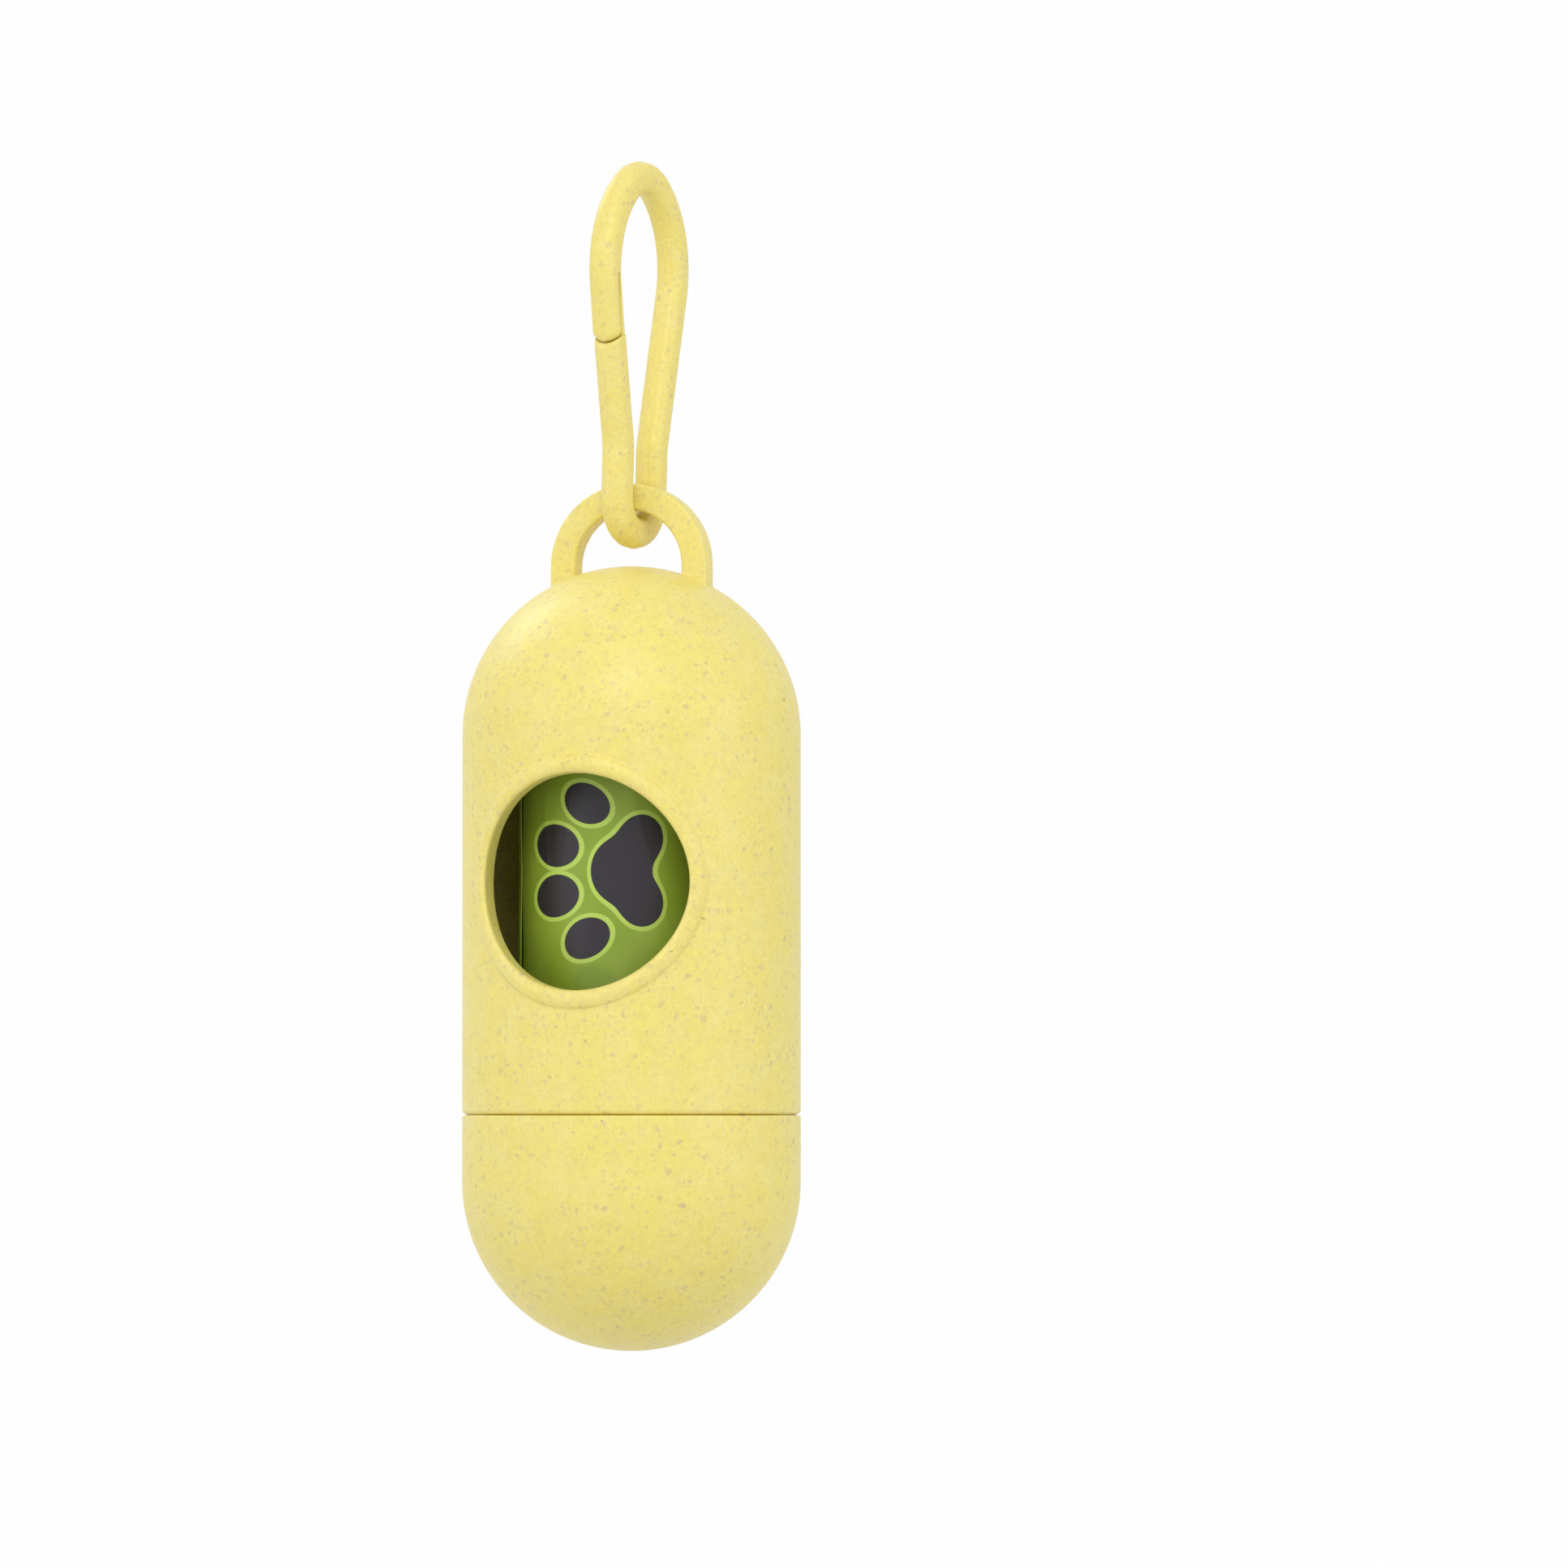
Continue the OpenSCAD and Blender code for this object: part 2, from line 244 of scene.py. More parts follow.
class Value:
    """A number in a shader, which Python's arithmetic works on."""

    def __init__(self, shader: "Shader", socket: bpy.types.NodeSocket) -> None:
        """Wraps the output of a node."""
        self.shader = shader
        self.socket = socket

    def _math(self, operation: str, *terms: Any) -> "Value":
        """Adds a Math node on the terms."""
        node = self.shader.node("ShaderNodeMath", {"operation": operation}, dict(enumerate(terms)))
        return Value(self.shader, node.outputs[0])

    def __add__(self, other: Any) -> "Value":
        """Sum."""
        return self._math("ADD", self, other)

    def __radd__(self, other: Any) -> "Value":
        """Sum, with the number first."""
        return self._math("ADD", other, self)

    def __sub__(self, other: Any) -> "Value":
        """Difference."""
        return self._math("SUBTRACT", self, other)

    def __rsub__(self, other: Any) -> "Value":
        """Difference, with the number first."""
        return self._math("SUBTRACT", other, self)

    def __mul__(self, other: Any) -> "Value":
        """Product."""
        return self._math("MULTIPLY", self, other)

    def __rmul__(self, other: Any) -> "Value":
        """Product, with the number first."""
        return self._math("MULTIPLY", other, self)

    def __truediv__(self, other: Any) -> "Value":
        """Quotient."""
        return self._math("DIVIDE", self, other)

    def __pow__(self, other: Any) -> "Value":
        """Power."""
        return self._math("POWER", self, other)

    def lowest(self, other: Any) -> "Value":
        """The smaller of two numbers."""
        return self._math("MINIMUM", self, other)

    def highest(self, other: Any) -> "Value":
        """The larger of two numbers."""
        return self._math("MAXIMUM", self, other)

    def joined(self, other: Any, softness: float) -> "Value":
        """The smaller of two numbers, rounded where they are nearly the same."""
        return self._math("SMOOTH_MIN", self, other, softness)

    def ramp(self, low: float, high: float) -> "Value":
        """Rises smoothly from 0 at low to 1 at high; falls where low is the larger."""
        if low > high:
            return 1 - self.ramp(high, low)
        settings = {"interpolation_type": "SMOOTHSTEP"}
        node = self.shader.node("ShaderNodeMapRange", settings,
                                {"Value": self, "From Min": low, "From Max": high})
        return Value(self.shader, node.outputs[0])


class Shader:
    """A material's node tree, and the few ways this scene adds to it."""

    def __init__(self, name: str) -> None:
        """Makes a material with a Principled BSDF."""
        self.material = bpy.data.materials.new(name)
        self.material.use_nodes = True
        self.tree = self.material.node_tree
        self.surface = self.tree.nodes["Principled BSDF"]
        self.output = self.tree.nodes["Material Output"]

    def node(self, kind: str, settings: dict[str, Any] | None = None,
             inputs: dict[Any, Any] | None = None) -> bpy.types.Node:
        """Adds a node.

        Args:
            kind: The node's type.
            settings: Its properties, set first.
            inputs: Values or links by socket name or number.

        Returns:
            The node.
        """
        made = self.tree.nodes.new(kind)
        for key, value in (settings or {}).items():
            setattr(made, key, value)
        for key, value in (inputs or {}).items():
            self.feed(made.inputs[key], value)
        return made

    def feed(self, socket: bpy.types.NodeSocket, value: Any) -> None:
        """Links a value to a socket, or sets the socket to a number or a colour."""
        if isinstance(value, Value):
            self.tree.links.new(value.socket, socket)
        elif isinstance(value, bpy.types.NodeSocket):
            self.tree.links.new(value, socket)
        elif isinstance(value, (tuple, list)) and len(value) == 3 and socket.type == "RGBA":
            socket.default_value = (*value, 1)
        else:
            socket.default_value = value

    def place(self) -> bpy.types.NodeSocket:
        """Object coordinates, in metres."""
        return self.node("ShaderNodeTexCoord").outputs["Object"]

    def flat_map(self) -> tuple[Value, Value]:
        """The piece's own flat map, as two numbers in millimetres."""
        uv = self.node("ShaderNodeUVMap", {"uv_map": "FlatMap"}).outputs[0]
        parts = self.node("ShaderNodeSeparateXYZ", None, {0: uv})
        return Value(self, parts.outputs[0]), Value(self, parts.outputs[1])

    def scaled(self, vector: Any, scale: Sequence[float]) -> bpy.types.NodeSocket:
        """A vector times another, part by part."""
        node = self.node("ShaderNodeVectorMath", {"operation": "MULTIPLY"},
                         {0: vector, 1: tuple(scale)})
        return node.outputs[0]

    def shifted(self, vector: Any, offset: Any) -> bpy.types.NodeSocket:
        """A vector plus another."""
        node = self.node("ShaderNodeVectorMath", {"operation": "ADD"}, {0: vector, 1: offset})
        return node.outputs[0]

    def noise(self, vector: Any, size: float, detail: float = 2, rough: float = 0.5) -> Value:
        """Noise from 0 to 1 whose features are about a size in millimetres."""
        inputs = {"Vector": vector, "Scale": 1 / (size * MM), "Detail": detail, "Roughness": rough}
        return Value(self, self.node("ShaderNodeTexNoise", None, inputs).outputs["Fac"])

    def mix(self, share: Any, first: Any, second: Any) -> bpy.types.NodeSocket:
        """Mixes two colours."""
        node = self.node("ShaderNodeMix", {"data_type": "RGBA"}, {0: share, 6: first, 7: second})
        return node.outputs[2]

    def relief(self, height: Value, depth: float) -> bpy.types.NodeSocket:
        """A bumped normal from a height from 0 to 1, over a depth in millimetres."""
        inputs = {"Height": height, "Distance": depth * MM, "Strength": 1.0}
        return self.node("ShaderNodeBump", None, inputs).outputs[0]

    def dress(self, **sockets: Any) -> bpy.types.Material:
        """Feeds the surface's sockets, named with _ for spaces, and returns the material."""
        for name, value in sockets.items():
            self.feed(self.surface.inputs[name.replace("_", " ")], value)
        return self.material


@dataclass(frozen=True)
class Flecks:
    """A layer of scattered flecks, at most one in each cell of a Voronoi pattern.

    The cell is a length in millimetres, the least and the most radius are shares of it,
    and empty is the share of the cells with no fleck. The colour is linear.
    """

    cell: float
    least: float
    most: float
    empty: float
    strength: float
    colour: tuple[float, float, float]

    def cover(self, shader: Shader) -> Value:
        """How strongly the layer covers each place, soft at the edge of each fleck."""
        scale = 1 / (self.cell * MM)
        wobble = shader.node("ShaderNodeTexNoise", None,
                             {"Vector": shader.place(), "Scale": 1.4 * scale, "Detail": 3.0})
        bent = shader.shifted(shader.place(),
                              shader.scaled(wobble.outputs["Color"], (0.9 * self.cell * MM,) * 3))
        cells = shader.node("ShaderNodeTexVoronoi", None, {"Vector": bent, "Scale": scale})
        away = Value(shader, cells.outputs["Distance"])
        draws = shader.node("ShaderNodeSeparateColor", None, {0: cells.outputs["Color"]})
        chance, size, weight = (Value(shader, draws.outputs[number]) for number in range(3))
        radius = size * size * (self.most - self.least) + self.least
        shape = ((radius - away) / (0.8 * self.least) + 0.5).highest(0).lowest(1)
        crowd = shader.noise(shader.place(), 9.0, 2).ramp(0.3, 0.6) * 0.6 + 0.4
        return shape * chance.ramp(self.empty, self.empty + 0.02) * (weight * 0.7 + 0.3) * crowd


@dataclass(frozen=True)
class StrawPlastic:
    """Satin plastic filled with straw flour: clouds, mottling, grain and bloom under flecks.

    Colours are linear.
    """

    name: str
    base: tuple[float, float, float] = (0.90, 0.77, 0.172)
    pale: tuple[float, float, float] = (0.91, 0.79, 0.32)
    tan: tuple[float, float, float] = (0.62, 0.50, 0.15)
    layers: tuple[Flecks, ...] = (
        Flecks(0.6, 0.20, 0.38, 0.15, 0.30, (0.60, 0.46, 0.25)),
        Flecks(0.95, 0.17, 0.36, 0.12, 0.44, (0.58, 0.44, 0.28)),
        Flecks(1.5, 0.13, 0.27, 0.20, 0.60, (0.53, 0.40, 0.27)),
        Flecks(2.6, 0.045, 0.09, 0.55, 0.75, (0.34, 0.24, 0.12)),
    )
    roughness: float = 0.42

    def make(self) -> bpy.types.Material:
        """Makes the material."""
        shader = Shader(self.name)
        place = shader.place()
        cloud = shader.noise(place, 3.2, 3)
        mottling = shader.noise(place, 1.3, 2)
        grain = shader.noise(place, 0.45, 3, 0.7)
        bloom = shader.noise(shader.scaled(place, (-1, 1, 1)), 0.4, 3, 0.7)
        colour = shader.mix(cloud.ramp(0.38, 0.66) * 0.34, self.base, self.pale)
        colour = shader.mix(mottling.ramp(0.35, 0.7) * 0.13, colour, self.tan)
        colour = shader.mix(grain.ramp(0.35, 0.7) * 0.2, colour, self.tan)
        colour = shader.mix(bloom.ramp(0.4, 0.65) * 0.3, colour, self.pale)
        for layer in self.layers:
            colour = shader.mix(layer.cover(shader) * layer.strength, colour, layer.colour)
        skin = shader.relief(shader.noise(place, 0.8, 3), 0.012)
        rough = shader.noise(place, 3.0, 2) * 0.1 + (self.roughness - 0.05)
        return shader.dress(Base_Color=colour, Roughness=rough, Normal=skin, IOR=1.47,
                            Specular_IOR_Level=0.7)


@dataclass(frozen=True)
class PawPrint:
    """A plain paw on the flat map of the film: a pad of three lobes and four toes.

    Each blob is its centre across and up, its half sizes, and its lean in degrees, in
    millimetres, for a paw whose toes point up. The turn is the print's lean as a whole.
    """

    across: float
    up: float
    turn: float = 90.0
    toes: tuple[tuple[float, ...], ...] = (
        (-7.9, 1.6, 2.3, 3.1, 24),
        (-2.9, 6.0, 2.5, 3.5, 7),
        (3.0, 6.0, 2.5, 3.5, -7),
        (7.9, 1.6, 2.3, 3.1, -24),
    )
    lobes: tuple[tuple[float, ...], ...] = (
        (0.0, -2.6, 3.9, 3.6, 0),
        (-3.6, -5.0, 3.0, 2.7, 20),
        (3.6, -5.0, 3.0, 2.7, -20),
    )

    def blob(self, across: Value, up: Value, shape: Sequence[float]) -> Value:
        """Distance from an ellipse, below 0 inside it, in millimetres near its edge."""
        x, z, wide, high, lean = shape
        turn = math.radians(self.turn)
        cx = self.across + (x * math.cos(turn) - z * math.sin(turn))
        cz = self.up + (x * math.sin(turn) + z * math.cos(turn))
        whole = turn + math.radians(lean)
        dx = across - cx
        dz = up - cz
        along = (dx * math.cos(whole) + dz * math.sin(whole)) * (1 / wide)
        aside = (dz * math.cos(whole) - dx * math.sin(whole)) * (1 / high)
        reach = (along * along + aside * aside) ** 0.5
        return (reach - 1) * min(wide, high)

    def edge(self, across: Value, up: Value) -> Value:
        """Distance from the whole print, below 0 inside it."""
        pad = self.blob(across, up, self.lobes[0])
        for lobe in self.lobes[1:]:
            pad = pad.joined(self.blob(across, up, lobe), 2.4)
        for toe in self.toes:
            pad = pad.lowest(self.blob(across, up, toe))
        return pad


@dataclass(frozen=True)
class BagFilm:
    """Thin glossy film: green, printed with paws, with fainter paws on the turn below."""

    name: str
    green: tuple[float, float, float] = (0.262, 0.372, 0.030)
    light: tuple[float, float, float] = (0.42, 0.56, 0.10)
    ink: tuple[float, float, float] = (0.028, 0.024, 0.032)
    prints: tuple[PawPrint, ...] = ()
    ghosts: tuple[PawPrint, ...] = ()

    def make(self) -> bpy.types.Material:
        """Makes the material."""
        shader = Shader(self.name)
        place = shader.place()
        cloud = shader.noise(place, 9.0, 3)
        colour = shader.mix(cloud.ramp(0.35, 0.75) * 0.35, self.green, self.light)
        if self.prints or self.ghosts:
            across, up = shader.flat_map()
            for paw in self.ghosts:
                colour = shader.mix(paw.edge(across, up).ramp(0.12, -0.12) * 0.22, colour,
                                    (0.12, 0.22, 0.045))
            for paw in self.prints:
                distance = paw.edge(across, up)
                colour = shader.mix(distance.ramp(0.55, 0.42), colour, (0.5, 0.68, 0.12))
                colour = shader.mix(distance.ramp(0.05, -0.05), colour, self.ink)
        drawn = shader.scaled(place, (1, 1, 0.35))
        creases = shader.noise(drawn, 1.6, 4, 0.6)
        skin = shader.relief(creases, 0.03)
        rough = shader.noise(place, 4.0, 2) * 0.12 + 0.30
        return shader.dress(Base_Color=colour, Roughness=rough, Normal=skin, IOR=1.5,
                            Specular_IOR_Level=0.38)


@dataclass(frozen=True)
class Card:
    """Grey card, wound on a slant, with a fibrous edge."""

    name: str
    base: tuple[float, float, float] = (0.30, 0.27, 0.22)
    pale: tuple[float, float, float] = (0.44, 0.40, 0.33)

    def make(self) -> bpy.types.Material:
        """Makes the material."""
        shader = Shader(self.name)
        place = shader.place()
        fibres = shader.noise(shader.scaled(place, (1, 1, 6)), 1.1, 4, 0.65)
        colour = shader.mix(fibres.ramp(0.35, 0.7), self.base, self.pale)
        skin = shader.relief(fibres, 0.06)
        return shader.dress(Base_Color=colour, Roughness=0.85, Normal=skin)


# ---------------------------------------------------------------------------
# Case
# ---------------------------------------------------------------------------


@dataclass
class Case:
    """The upper moulding: shell, opening with its bead, bail, spindle and neck."""

    radius: float = 20.0
    wall: float = 1.8
    height: float = 92.7
    seam: float = 27.9
    seam_round: float = 0.6
    neck_radius: float = 17.0
    neck_wall: float = 0.9
    neck_end: float = 21.0
    opening_radius: float = 12.65
    opening_z: float = 55.0
    bead_width: float = 2.15
    bead_proud: float = 0.6
    bead_crest: float = 1.05
    bead_squeeze: float = 0.17
    bead_drop: float = 0.15
    rim_depth: float = 0.4
    rim_round: float = 0.3
    columns: int = 240
    window_columns: int = 38
    window_rows: int = 34
    window_half_height: float = 16.8
    bail_radius: float = 8.2
    bail_band: float = 3.1
    bail_thickness: float = 3.0
    bail_round: float = 0.4
    bail_foot_z: float = 89.9
    bail_fillet: float = 0.35
    spindle_end: float = 64.5
    spindle_tip: float = 1.2
    spindle_root: float = 1.7

    @property
    def inner(self) -> float:
        """Radius of the inside."""
        return self.radius - self.wall

    @property
    def dome_z(self) -> float:
        """Height at which the side turns into the dome."""
        return self.height - self.radius

    def section(self) -> tuple[np.ndarray, np.ndarray, np.ndarray]:
        """The shell's half section, from the top outside to the top inside.

        Returns:
            Radii and heights, one row per ring of points, and the numbers of the rows
            that the window round the opening spans outside and inside, top first.
        """
        dome = np.linspace(89, 0, 40)
        window_z = np.linspace(self.opening_z + self.window_half_height,
                               self.opening_z - self.window_half_height, self.window_rows + 1)
        edge = arc((self.radius - self.seam_round, self.seam + self.seam_round),
                   self.seam_round, 0, -90, 6)
        neck_inner = self.neck_radius - self.neck_wall
        side_low = np.linspace(window_z[-1] - 1, self.seam + self.seam_round + 0.4, 9)
        outer_dome = arc((0, self.dome_z), self.radius, dome[0], dome[-1], len(dome) - 1)
        inner_dome = arc((0, self.dome_z), self.inner, dome[-1], dome[0], len(dome) - 1)
        neck = [[self.neck_radius + 0.3, self.seam], [self.neck_radius, self.seam - 0.3],
                [self.neck_radius, self.neck_end + 0.3], [self.neck_radius - 0.3, self.neck_end],
                [neck_inner + 0.2, self.neck_end], [neck_inner, self.neck_end + 0.2],
                [neck_inner, self.seam - 0.2], [self.inner, self.seam + 2.0]]
        inner_low = np.linspace(self.seam + 3.0, window_z[-1] - 1, 7)
        rows = [
            outer_dome,
            np.stack([np.full_like(window_z, self.radius), window_z], axis=1),
            np.stack([np.full_like(side_low, self.radius), side_low], axis=1),
            edge,
            np.array(neck),
            np.stack([np.full_like(inner_low, self.inner), inner_low], axis=1),
            np.stack([np.full_like(window_z, self.inner), window_z[::-1]], axis=1),
            inner_dome,
        ]
        starts = np.cumsum([0] + [len(row) for row in rows])
        outside = np.arange(starts[1], starts[2])
        inside = np.arange(starts[6], starts[7])[::-1]
        return np.concatenate(rows), outside, inside

    def window_loop(self, grid: np.ndarray, rows: np.ndarray) -> np.ndarray:
        """The points round the window, clockwise from its top left seen from the front."""
        half = self.window_columns
        columns = np.arange(-half, half + 1) % self.columns
        top = grid[rows[0], columns]
        right = grid[rows[1:-1], columns[-1]]
        bottom = grid[rows[-1], columns[::-1]]
        left = grid[rows[-2:0:-1], columns[0]]
        return np.concatenate([top, right, bottom, left])

    def bead_profile(self) -> np.ndarray:
        """Distance from the opening's axis and height over the side, from the foot inwards.

        The bead rises from its foot as a quarter of an ellipse, and falls into the
        opening as another. Past the wall the section runs round a rim inside the case.
        """
        foot = self.opening_radius + self.bead_width
        crest = self.opening_radius + self.bead_crest
        lip = self.rim_round
        outside = [[foot + 0.75, 0.0], [foot + 0.3, 0.0], [foot + 0.06, 0.01]]
        rise = np.radians(np.linspace(6, 90, 15))
        fall = np.radians(np.linspace(90, 178, 15)[1:])
        drop = self.bead_proud + self.bead_drop
        bottom = -self.wall - self.rim_depth
        return np.concatenate([
            outside,
            np.column_stack([crest + (foot - crest) * np.cos(rise),
                             self.bead_proud * np.sin(rise)]),
            np.column_stack([crest + self.bead_crest * np.cos(fall),
                             self.bead_proud - drop + drop * np.sin(fall)]),
            [[self.opening_radius, -0.6], [self.opening_radius, -1.5]],
            arc((self.opening_radius + lip, bottom + lip), lip, 180, 270, 5),
            arc((foot - lip - 0.2, bottom + lip), lip, -90, 0, 5),
            [[foot - 0.1, 0.1 - self.wall], [foot + 0.2, -self.wall]],
        ])

    def shell(self) -> bpy.types.Object:
        """The shell: a turned section, with a window filled by rings round the opening.

        The section is carried round the axis in equal steps. In the window, each point
        of its border is joined to the opening by a spoke, on which the rings lie: first
        spread evenly over the side, then along the bead's profile, through the wall and
        back out to the border of the window inside.
        """
        draft = Draft()
        section, outside, inside = self.section()
        angle = np.linspace(0, TURN, self.columns, endpoint=False)
        grid = draft.points(around(section[:, :1], angle[None, :], section[:, 1:]))
        keep = np.ones((len(section) - 1, self.columns), bool)
        columns = np.arange(-self.window_columns, self.window_columns) % self.columns
        for rows in (outside, inside):
            keep[min(rows):max(rows), columns[:, None]] = False
        draft.skin(grid, keep=keep)
        draft.fan(grid[0], (0, 0, self.height))
        draft.fan(grid[-1], (0, 0, self.height - self.wall))

        border = self.window_loop(grid, outside)
        inner_border = self.window_loop(grid, inside)
        signed = np.where(angle > math.pi, angle - TURN, angle)
        border_angle = signed[border % self.columns]
        border_z = section[border // self.columns, 1]
        spoke = np.arctan2(border_angle * self.radius, border_z - self.opening_z)

        def ring(distance: float, height: float) -> tuple[np.ndarray, np.ndarray, float]:
            """Angle, height and radius of the ring, drawn in at the opening's two sides."""
            radius = self.radius + height
            past = distance - self.opening_radius
            distance = self.opening_radius + past * (1 - self.bead_squeeze * np.sin(spoke) ** 2)
            return (np.arcsin(distance * np.sin(spoke) / radius),
                    self.opening_z + distance * np.cos(spoke), radius)

        def band(near: np.ndarray, near_z: np.ndarray, radius: float,
                 shares: np.ndarray) -> list[np.ndarray]:
            """Rings spread over the side, each a share of the way from the border inwards."""
            return [draft.points(around(radius, border_angle * (1 - share) + near * share,
                                        border_z * (1 - share) + near_z * share))
                    for share in shares]

        profile = [ring(*point) for point in self.bead_profile()]
        rings = [border]
        rings += band(*profile[0], np.linspace(0, 1, 8)[1:-1])
        rings += [draft.points(around(radius, ring_angle, ring_z))
                  for ring_angle, ring_z, radius in profile]
        rings += band(*profile[-1], np.linspace(1, 0, 6)[1:-1])
        rings.append(inner_border)
        draft.skin(np.stack(rings))
        return draft.build("case_shell", crease=42)

    def bail(self) -> bpy.types.Object:
        """The bail: a bar carried up one leg, over half a ring and down the other.

        Near the dome each point of a section moves outwards as a quarter circle does,
        by its height over the dome, which makes a fillet that follows the dome.
        """
        rise = np.linspace(self.bail_foot_z, self.height, 26)[:-1]
        bend = np.radians(np.linspace(180, 0, 61))
        x = np.concatenate([np.full_like(rise, -1.0), np.cos(bend), np.full_like(rise, 1.0)])
        z = np.concatenate([rise, self.height + self.bail_radius * np.sin(bend), rise[::-1]])
        x = x * self.bail_radius
        lean = np.concatenate([np.full_like(rise, math.pi), bend, np.zeros_like(rise)])
        half = np.full_like(x, self.bail_thickness / 2)
        band = np.full_like(x, self.bail_band / 2)
        across, through = rounded_ring(-band, band, half, self.bail_round)
        px = x[:, None] + across * np.cos(lean)[:, None]
        py = through
        pz = z[:, None] + across * np.sin(lean)[:, None]
        reach = np.hypot(across, through)
        out_x, out_y = across / reach * np.cos(lean)[:, None], through / reach
        spread = np.zeros_like(px)
        for _ in range(4):
            level = np.hypot(px + spread * out_x, py + spread * out_y)
            dome = self.dome_z + np.sqrt(self.radius**2 - level**2)
            over = np.clip((pz - dome) / self.bail_fillet, 0, 1)
            spread = self.bail_fillet * (1 - np.sqrt(1 - (1 - over) ** 2))
        px = px + spread * out_x
        py = py + spread * out_y
        draft = Draft()
        index = draft.points(np.stack([px, py, pz], axis=-1))
        draft.skin(index)
        for end in (0, -1):
            draft.fan(index[end], (x[end], 0, z[end]))
        return draft.build("case_bail")

    def spindle(self) -> bpy.types.Object:
        """The spindle: a slim cone with a rounded tip, hanging from the dome."""
        top = self.dome_z + self.inner + 0.5
        tip = arc((0, self.spindle_end + self.spindle_tip), self.spindle_tip, -85, 0, 8)
        flare = arc((self.spindle_root + 1.5, top - 1.9), 1.5, 180, 100, 8)
        section = np.concatenate([tip, flare])
        draft = Draft()
        angle = np.linspace(0, TURN, 40, endpoint=False)
        grid = draft.points(around(section[:, :1], angle[None, :], section[:, 1:]))
        draft.skin(grid)
        draft.fan(grid[0], (0, 0, self.spindle_end))
        draft.fan(grid[-1], (0, 0, section[-1, 1]))
        return draft.build("case_spindle")

    def pieces(self, plastic: bpy.types.Material) -> list[bpy.types.Object]:
        """Builds and dresses every piece of the case."""
        thread = Thread(self.neck_radius, 0.8, 0.0)
        made = [self.shell(), self.bail(), self.spindle(), thread.build("neck_thread")]
        return [dress(piece, Body.CASE, Slot.SHELL, plastic, "case_body") for piece in made]


@dataclass
class Thread:
    """One turn of screw thread on a wall, with run-outs at both ends."""

    wall_radius: float
    depth: float
    start: float
    low: float = 22.4
    pitch: float = 4.0
    sink: float = 0.4
    root_width: float = 1.6
    steps: int = 180

    def build(self, name: str) -> bpy.types.Object:
        """Carries the thread's section along the helix, outwards where depth is above 0.

        Args:
            name: The piece's name.

        Returns:
            The thread.
        """
        turn = np.linspace(0, 1, self.steps)[:, None]
        lift = smooth_step(turn, 0, 0.12) * smooth_step(turn, 1, 0.88)
        bulge = np.radians(np.linspace(0, 180, 11))[None, :]
        radius = self.wall_radius + self.depth * lift * np.sin(bulge) ** 0.6
        height = self.low + self.pitch * turn + np.cos(bulge) * self.root_width / 2
        sunk = self.wall_radius - math.copysign(self.sink, self.depth)
        back_radius = np.full((self.steps, 2), sunk)
        back_z = self.low + self.pitch * turn + np.array([[-0.5, 0.5]]) * self.root_width
        radius = np.concatenate([radius, back_radius], axis=1)
        height = np.concatenate([height, back_z], axis=1)
        # Counter-clockwise seen from above, which the angle from the front also is.
        angle = math.radians(self.start) + math.pi / 2 + TURN * 0.98 * turn
        draft = Draft()
        index = draft.points(around(radius, angle, height))
        draft.skin(index)
        for end in (0, -1):
            middle_z = np.array([self.low + self.pitch * turn[end, 0]])
            draft.fan(index[end], around(self.wall_radius, angle[end], middle_z)[0])
        return draft.build(name)


@dataclass
class Cap:
    """The lower moulding: a domed cap with a short side and a thread inside.

    A low lip on its rim closes the seam against light.
    """

    radius: float = 20.0
    wall: float = 1.8
    top: float = 27.8
    edge_round: float = 0.3
    lip: float = 0.085
    columns: int = 240

    def shell(self) -> bpy.types.Object:
        """The cap: its half section turned about the axis."""
        inner = self.radius - self.wall
        outer_edge = arc((self.radius - self.edge_round, self.top - self.edge_round),
                         self.edge_round, 0, 90, 4)
        inner_edge = arc((inner + self.edge_round, self.top - self.edge_round),
                         self.edge_round, 90, 180, 4)
        section = np.concatenate([
            arc((0, self.radius), self.radius, -89, 0, 40),
            [[self.radius, 22.0], [self.radius, 25.0]],
            outer_edge,
            [[19.5, self.top], [19.35, self.top + self.lip], [18.8, self.top + self.lip],
             [18.65, self.top]],
            inner_edge,
            [[inner, 24.0], [inner, 22.0]],
            arc((0, self.radius), inner, 0, -89, 36),
        ])
        angle = np.linspace(0, TURN, self.columns, endpoint=False)
        draft = Draft()
        grid = draft.points(around(section[:, :1], angle[None, :], section[:, 1:]))
        draft.skin(grid)
        draft.fan(grid[0], (0, 0, 0))
        draft.fan(grid[-1], (0, 0, self.wall))
        return draft.build("cap_shell")

    def pieces(self, plastic: bpy.types.Material) -> list[bpy.types.Object]:
        """Builds and dresses the cap and its thread."""
        thread = Thread(self.radius - self.wall, -0.8, 180.0)
        made = [self.shell(), thread.build("cap_thread")]
        return [dress(piece, Body.CAP, Slot.SHELL, plastic, "screw_cap") for piece in made]


# ---------------------------------------------------------------------------
# Clip
# ---------------------------------------------------------------------------


